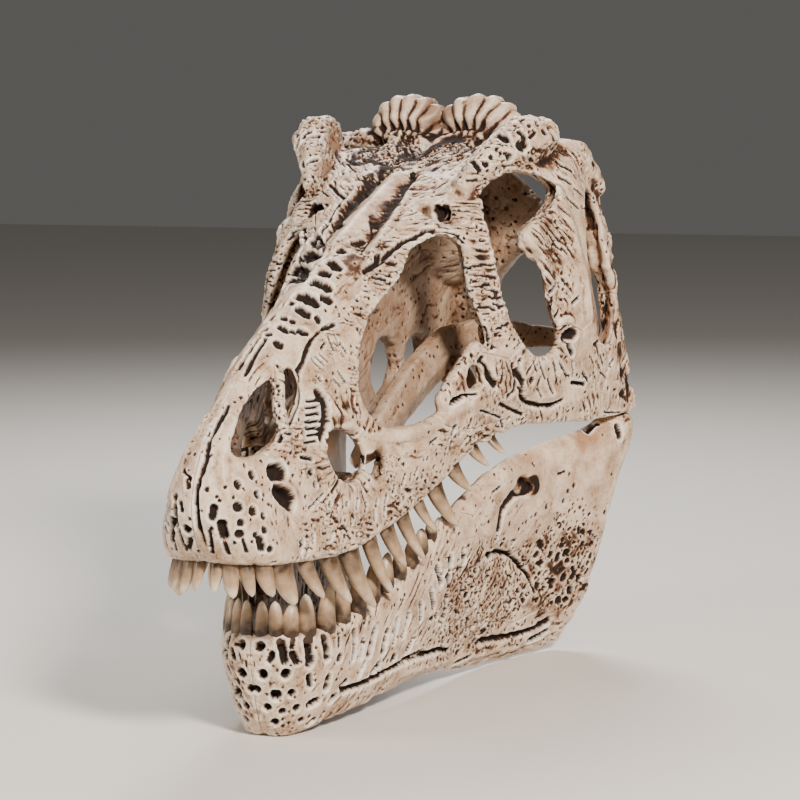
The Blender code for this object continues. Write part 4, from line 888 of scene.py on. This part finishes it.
def wrinkled(points, quads, n):    # how far each corner lies below its surroundings, near and wider
    count = len(points)
    edges = np.concatenate([quads[:, [0, 1]], quads[:, [1, 2]], quads[:, [2, 3]], quads[:, [3, 0]]])
    edges = np.concatenate([edges, edges[:, ::-1]])
    shares = np.maximum(np.bincount(edges[:, 0], minlength=count), 1)[:, None]
    here = points
    found = []
    for turn in range(18):
        around = np.stack([np.bincount(edges[:, 0], here[edges[:, 1], axis], count) for axis in range(3)], 1)
        here = 0.4 * here + 0.6 * around / shares
        if turn in (4, 17):
            found.append(((here - points) * n).sum(1))
    return found


def placePiece(piece, node):    # every piece is rigid and on the one body
    bpy.context.scene.collection.objects.link(piece)
    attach(piece, "root")
    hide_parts(node)


def makePiece(name, points, quads, cues, material, node):
    mesh = bpy.data.meshes.new(name)
    mesh.vertices.add(len(points))
    mesh.vertices.foreach_set("co", (points * 0.001).ravel())
    mesh.loops.add(quads.size)
    mesh.loops.foreach_set("vertex_index", quads.ravel().astype(np.int32))
    mesh.polygons.add(len(quads))
    mesh.polygons.foreach_set("loop_start", np.arange(0, quads.size, 4, dtype=np.int32))
    mesh.polygons.foreach_set("use_smooth", np.ones(len(quads), dtype=bool))
    mesh.update(calc_edges=True)
    for cue, values in cues.items():
        kind = "FLOAT_VECTOR" if values.ndim == 2 else "FLOAT"
        layer = mesh.attributes.new(cue, kind, "POINT")
        layer.data.foreach_set("vector" if values.ndim == 2 else "value", values.astype(np.float32).ravel())
    mesh.materials.append(material)
    placePiece(bpy.data.objects.new(name, mesh), node)


def mirrorImage(points, n, quads):    # a midline bone's whole shape from its left half
    onLine = np.abs(points[:, 0]) < 1e-6
    twin = np.where(onLine, np.arange(len(points)), np.cumsum(~onLine) - 1 + len(points))
    turn = np.array((-1, 1, 1))
    return (np.concatenate([points, points[~onLine] * turn]), np.concatenate([n, n[~onLine] * turn]),
            np.concatenate([quads, twin[quads][:, ::-1]]))


# how far off the solid about a place is read, in mm, for the painted occlusion shade, and how strongly each cue
# enters the finish
cueLook = {"occlusionShadeAt": 4.0, "widerAt": 9.0, "close": 1.3, "wide": 1.05, "cut": 0.45, "cutFrom": 0.6,
           "proudWide": 0.7, "proudFrom": 0.25, "stainAndShadeOver": 1.4}
# ochre stains: centre, radius and strength, on both sides
stains = [
    ((72, 262, 108), 13, 0.9), ((60, 222, 100), 9, 0.6), ((74, 219, 163), 5, 0.8), ((64, 200, 136), 4.5, 0.8),
    ((50, 160, 92), 8, 0.5), ((56, 228, 42), 6, 0.8), ((60, 250, 36), 6, 0.6), ((58, 214, 257), 10, 0.5),
    ((62, 268, 210), 12, 0.5), ((84, 288, 150), 10, 0.5), ((16, 12, 108), 9, 0.4), ((18, 150, 206), 8, 0.5),
    ((58, 240, 245), 9, 0.6), ((0, 160, 222), 12, 0.35), ((20, 62, 170), 6, 0.5), ((4, 120, 160), 25, 0.35),
    ((46, 205, 20), 10, 0.4), ((10, 32, 100), 6, 0.4),
]


def sculpted(name, simple, node, points, n, quads, side, slotName, volumes):    # one finished bone
    near, low = volumes["near"], volumes["nearLow"]
    p = points + (0, middleY, 0)
    if side:
        broad, fine, lined, flow = relief(simple, p, n, side)
    else:
        onLeft = p[:, 0] >= 0
        pair = [relief(simple, p, n, 1), relief(simple, p, n, -1)]
        broad, fine, lined, flow = [
            np.where(onLeft if a.ndim == 1 else onLeft[:, None], a, b) for a, b in zip(*pair)]
    shaped = points + n * (broad + fine)[:, None]
    if not side:
        shaped[np.abs(points[:, 0]) < 1e-6, 0] = 0
    close, wide = wrinkled(shaped, quads, n)
    q = bothSides(points)
    outward = n * (np.sign(points[:, :1] + 1e-9) * (1, 0, 0) + (0, 1, 1))
    # painted occlusion shade, read from how much solid lies just off the surface, near and wider
    occlusionShade = sampled(near, low, q + outward * cueLook["occlusionShadeAt"], crowding["every"] * step)
    wider = sampled(near, low, q + outward * cueLook["widerAt"], crowding["every"] * step)
    inwards = -(n[:, 0] * np.sign(points[:, 0] + 1e-9))
    # painted shade on inward-facing surfaces, strongest where a face turns to the midline, and a fixed share on the
    # inner bones
    innerShade = ease(inwards, 0.1, 0.6) * 0.85 if slotName == "cast_bone" else np.full(len(p), 0.55)
    stain = np.clip(rough(p, 18.0, 2, 40) - 0.3, 0, 1) * 0.5
    s = bothSides(p)
    for centre, radius, strength in stains:
        away = np.linalg.norm(s - centre, axis=1) / radius + 0.35 * cloudy(p, 5.0, 44)
        stain = np.maximum(stain, strength * (1 - ease(away, 0.3, 1.1)))
    # brown stain and painted shade laid on over the listed hollows
    left = np.zeros(len(p))
    for centre, radii, strength in stainAndShadeAreas:
        where = oval(p, centre, radii, 0.4, 12) if centre[0] > 0 else 1 - ease(
            np.linalg.norm((p - centre) / radii, axis=1), 0.75, 1.15)
        left = np.maximum(left, strength * where * np.clip(1.2 + 0.9 * cloudy(p, 3.5, 14), 0.3, 2))
    look = cueLook
    # hollow: brown stain and painted shade, from the listed areas, the surface's hollowness and the depth of its
    # cuts
    cues = {
        "hollow": np.clip(left + close * look["close"] + wide * look["wide"]
                          + np.maximum(-fine - look["cutFrom"], 0) * look["cut"], 0, 1),
        # proud: rubbed-back wear and a painted highlight on raised places, less where the listed stain and painted
        # shade lie
        "proud": np.clip(-close * look["close"] - wide * look["proudWide"] - look["proudFrom"], 0, 1)
                 * np.clip(1 - look["stainAndShadeOver"] * left, 0, 1),
        "stain": np.clip(stain, 0, 1) * 0.7,
        "occlusionShade": np.maximum(ease(occlusionShade, 0.28, 0.54) * 0.8, ease(wider, 0.26, 0.50) * 0.6),
        "innerShade": innerShade, "grainy": lined, "flow": flow,
    }
    makePiece(name, shaped, quads, cues, boneResin, node)


# the bones
# the tooth margins in side view, as (y, z)
upperEdge = [(-2, 85), (10, 83.3), (30, 80.5), (42, 79.9), (52, 79), (75, 78.5), (110, 86), (145, 98.5),
             (173, 112), (205, 118), (235, 117), (262, 115.5), (300, 117.5)]
lowerEdge = [(36, 47.5), (52, 46.5), (67, 46.5), (92, 51.5), (122, 62), (146, 77), (150, 120), (320, 130)]
trimming = {"gap": 0.3, "upperEnd": 232}


def underUpper(y, z):    # more than 0 below the upper margin
    return np.where(y < trimming["upperEnd"], np.interp(y, *zip(*upperEdge)) - trimming["gap"] - z, -9.0)


def overLower(y, z):    # more than 0 above the lower margin
    return z - np.interp(y, *zip(*lowerEdge)) - trimming["gap"]


# touching bones: names, mm of softening, mm of growth, trim, slot, and whether the cheek's windows are in it
groups = [
    (["premaxilla_left", "maxilla_left", "nasals", "lacrimal_left", "postorbital_left", "squamosal_left",
      "jugal_left", "quadratojugal_left", "skull_roof"], 1.5, 0.30, underUpper, "cast_bone", True),
    (["dentary_left", "surangular_left", "angular_left"], 1.7, 0.30, overLower, "cast_bone", False),
    (["braincase"], 1.6, 0.1, None, "inner_bone", False),
    (["palate"], 1.2, 0.1, None, "inner_bone", False),
    (["pterygoid_left"], 1.0, 0.2, None, "inner_bone", False),
    (["quadrate_left"], 1.0, 0.2, None, "inner_bone", False),
]
pieceNames = {"skull_roof": "skullRoof"}

for bones, soften, grow, trim, slotName, windowed in groups:
    volumes = softForms(bones, soften, grow, trim, windowed)
    for bone in bones:
        points, quads = shareOf(bone, volumes)
        n = slope(volumes["smooth"], volumes["low"], points)
        simple = bone.replace("_left", "")
        name = pieceNames.get(simple, simple)
        if bone.endswith("_left"):
            turn = np.array((-1, 1, 1))
            sculpted(name + "Left", simple, bone, points, n, quads, 1, slotName, volumes)
            sculpted(name + "Right", simple, simple + "_right", points * turn, n * turn, quads[:, ::-1], -1,
                     slotName, volumes)
        else:
            points, n, quads = mirrorImage(points, n, quads)
            sculpted(name, simple, bone, points, n, quads, 0, slotName, volumes)
        print(name, "sculpted,", len(quads) * 2, "triangles")

# the teeth: length, root and width in mm
teethLook = {
    "upper": [
        (4.4, 13, 0, 5.6), (11.8, 15, 1, 7.2), (19.4, 14, 1.5, 6.6), (27.6, 14, 2.5, 8.6),
        (40.4, 18, 4, 12.5), (60, 17, 5, 9.2), (79, 22, 8, 10.4), (95.5, 28, 11, 11),
        (111.5, 28, 10, 8.6), (125.5, 20, 6, 9.2),
        (138.5, 23, 9, 8.4), (151.5, 16, 6, 7.4), (166, 21, 10, 10.4), (181.5, 13, 7, 9.8), (198.5, 10, 5, 8),
        (212.5, 8, 3, 6.4)],    # distance along the margin, length, lean back, width
    "lower": [
        (4.6, 13, 0, 6.2), (12.3, 13, 0, 7.0), (20.8, 12, 2, 8.6), (31, 15.5, 0, 9.2), (42.5, 18, 3, 9.8),
        (54.5, 17, 2, 9.2), (66, 15, 1, 9.2), (77.5, 15, 2, 8.8), (88.5, 14, 2, 8.4), (99, 12, 2, 8.2),
        (109, 9, 1, 7.6), (118.5, 8, 0.5, 7.2), (127, 6.5, 0.5, 6.6)],
    "premaxillaEnds": 50, "root": 5.0, "sides": 20, "rings": 16, "thickness": 0.8, "taper": 0.3,
    "leastGirth": 0.03, "ridges": (0.035, 9), "frontKeel": 0.10, "rearKeel": 0.06,
    "crown": "#A88C6E", "base": "#33200F", "tip": "#DCCBB2", "roughness": 0.36,
    "blotchMm": 5.0, "blotchPush": (0.9, -0.45), "baseEnds": (0.0, 0.55), "tipBegins": (0.6, 1.05),
    "blotchBump": (0.25, 0.3),
}
upperMargin = [(0, -1, 85), (5.5, -0.4, 84.9), (10.9, 1.4, 84.7), (15.9, 4.2, 84.2), (20.3, 8.1, 83.7),
               (23.8, 12.8, 83), (26.2, 18.1, 82.2), (27.3, 24, 81.4), (27.5, 30, 80.5), (28.5, 35, 80.3),
               (28.6, 42, 79.9), (29.5, 52, 79), (32, 75, 78.5), (37.5, 110, 86), (43.5, 145, 98.5),
               (49.5, 173, 112), (60, 205, 118), (71, 235, 117)]
lowerMargin = [(0.2, 37.5, 47.5), (8, 39, 47.5), (15.5, 43.5, 47.2), (22, 52, 46.5), (27.5, 67, 46.5),
               (33, 92, 51.5), (39, 122, 62), (46, 152, 81)]


def followLine(line, distance):    # the point that far along a line, and the level direction there
    for a, b in zip(line[:-1], line[1:]):
        a, b = Vector(a), Vector(b)
        span = (b - a).length
        if distance <= span or b == Vector(line[-1]):
            run = Vector((b.x - a.x, b.y - a.y, 0)).normalized()
            return a.lerp(b, distance / span), run
        distance -= span


# one row of teeth on both sides: up is 1 or -1, and the insets are mm inwards from the margin at root and tip
def teethPiece(name, line, rows, up, insetRoot, insetTip, nodes):
    look = teethLook
    bm = bmesh.new()
    crown = bm.verts.layers.float.new("crown")
    for number, (distance, length, lean, width) in enumerate(rows):
        point, run = followLine(line, distance)
        inward = Vector((-run.y, run.x, 0))
        thick = look["thickness"] * width
        loops = []
        for k in range(look["rings"] + 1):
            height = -look["root"] + (length + look["root"]) * (k / look["rings"])
            out = max(height / length, 0)
            girth = (1 - look["taper"] * out) * (1 - out ** 4) ** 0.5 if out < 1 else 0.0
            girth = max(girth, look["leastGirth"])
            inset = insetRoot + (insetTip - insetRoot) * out
            centre = point + inward * inset + run * (lean * out ** 2)
            centre.z += up * height
            ring = bmesh.ops.create_circle(bm, cap_ends=k in (0, look["rings"]), segments=look["sides"],
                                           radius=1.0)["verts"]
            for v in ring:
                a = math.atan2(v.co.y, v.co.x)
                ridge = 1 + look["ridges"][0] * math.cos(a * look["ridges"][1] + number) * (1 - out)
                keel = look["frontKeel"] if math.cos(a) > 0 else look["rearKeel"]
                keel = 1 + keel * math.cos(a) ** 12
                along, aside = 0.5 * width * girth * ridge * keel, 0.5 * thick * girth * ridge
                v.co = centre + run * (along * math.cos(a)) + inward * (aside * math.sin(a))
                v[crown] = out
            loops.append(ring)
        edges = [[e for e in {e for v in ring for e in v.link_edges} if all(w in ring for w in e.verts)]
                 for ring in loops]
        for lower, upper in zip(edges[:-1], edges[1:]):
            bmesh.ops.bridge_loops(bm, edges=lower + upper)
    for v in bm.verts:
        v.co.y -= middleY
    bmesh.ops.scale(bm, vec=(0.001, 0.001, 0.001), verts=bm.verts)
    bmesh.ops.recalc_face_normals(bm, faces=bm.faces)
    for side, node in zip(("Left", "Right"), nodes):
        if side == "Right":
            bmesh.ops.scale(bm, vec=(-1, 1, 1), verts=bm.verts)
            bmesh.ops.reverse_faces(bm, faces=bm.faces)
        mesh = bpy.data.meshes.new(name + side)
        bm.to_mesh(mesh)
        for f in mesh.polygons:
            f.use_smooth = True
        mesh.materials.append(toothResin)
        placePiece(bpy.data.objects.new(name + side, mesh), node)
    bm.free()


# The same resin, stained yellow brown on the teeth, darker towards the gum line and paler towards the tips.
def stainedTooth(look):
    material = bpy.data.materials.new("stainedToothResin")
    material.use_nodes = True
    tree = material.node_tree
    shader = tree.nodes["Principled BSDF"]
    place = addNode(tree, "ShaderNodeTexCoord")
    crown = addNode(tree, "ShaderNodeAttribute", {"attribute_name": "crown"})
    blotch = (addNode(tree, "ShaderNodeTexNoise", {"Scale": perMetre(look["blotchMm"]), "Detail": 4.0},
                      {"Vector": (place, "Object")}), 0)
    push = mathNode(tree, "MULTIPLY_ADD", blotch, *look["blotchPush"])
    height = mathNode(tree, "ADD", (crown, "Fac"), push)
    base = colourMix(tree, span(tree, height, *look["baseEnds"]), look["base"], look["crown"])
    base = colourMix(tree, span(tree, height, *look["tipBegins"]), base, look["tip"])
    tree.links.new(base[0].outputs[base[1]], shader.inputs["Base Color"])
    shader.inputs["Roughness"].default_value = look["roughness"]
    bump = bumped(tree, blotch, *look["blotchBump"])
    tree.links.new(bump[0].outputs[0], shader.inputs["Normal"])
    return material


toothResin = stainedTooth(teethLook)
frontTeeth = [row for row in teethLook["upper"] if row[0] < teethLook["premaxillaEnds"]]
sideTeeth = [row for row in teethLook["upper"] if row[0] >= teethLook["premaxillaEnds"]]
teethPiece("frontTeeth", upperMargin, frontTeeth, -1, 5.5, 1.0, ["premaxilla_left", "premaxilla_right"])
teethPiece("upperTeeth", upperMargin, sideTeeth, -1, 5.5, -1.5, ["maxilla_left", "maxilla_right"])
teethPiece("lowerTeeth", lowerMargin, teethLook["lower"], 1, 5.5, 6.0, ["dentary_left", "dentary_right"])
print("teeth set")

# floor, light and camera
studio = {
    "floor": "#D9D5CF", "floorRoughness": 0.75, "floorHalf": 4.0, "air": "#DAD7D2", "airStrength": 0.15,
    "aim": (0, 0, 0.13),
    "lights": [    # name, place, size in m, power in W, colour
        ("softKey", (0.80, -0.70, 0.85), 0.24, 32, "#FFF4EA"),
        ("softFill", (-0.80, -0.60, 0.45), 0.40, 6, "#FFFAF4"),
        ("softBack", (-0.30, 0.70, 0.95), 0.50, 12, "#FFFFFF"),
    ],
}
bm = bmesh.new()
bmesh.ops.create_grid(bm, x_segments=1, y_segments=1, size=studio["floorHalf"])
floorMesh = bpy.data.meshes.new("floor")
bm.to_mesh(floorMesh)
bm.free()
floor = bpy.data.objects.new("floor", floorMesh)
bpy.context.scene.collection.objects.link(floor)
floorPaint = bpy.data.materials.new("paleStudioPaper")
floorPaint.use_nodes = True
paper = floorPaint.node_tree.nodes["Principled BSDF"].inputs
paper["Base Color"].default_value = linear(studio["floor"])
paper["Roughness"].default_value = studio["floorRoughness"]
floorMesh.materials.append(floorPaint)

air = bpy.data.worlds.new("studioAir")
bpy.context.scene.world = air
air.use_nodes = True
sky = air.node_tree.nodes["Background"].inputs
sky["Color"].default_value = linear(studio["air"])
sky["Strength"].default_value = studio["airStrength"]

for name, place, size, power, tint in studio["lights"]:
    lamp = bpy.data.lights.new(name, "AREA")
    lamp.shape = "DISK"
    lamp.size = size
    lamp.energy = power
    lamp.color = linear(tint)[:3]
    holder = bpy.data.objects.new(name, lamp)
    holder.location = place
    holder.rotation_euler = (Vector(studio["aim"]) - Vector(place)).to_track_quat("-Z", "Y").to_euler()
    bpy.context.scene.collection.objects.link(holder)

camera = bpy.data.objects.new("camera", bpy.data.cameras.new("camera"))
camera.data.lens = view["lens"]
camera.data.sensor_width = view["sensor"]
camera.matrix_world = Matrix.Translation(view["stand"]) @ Matrix(axes).transposed().to_4x4()
bpy.context.scene.collection.objects.link(camera)
bpy.context.scene.camera = camera
print("floor, light and camera set")
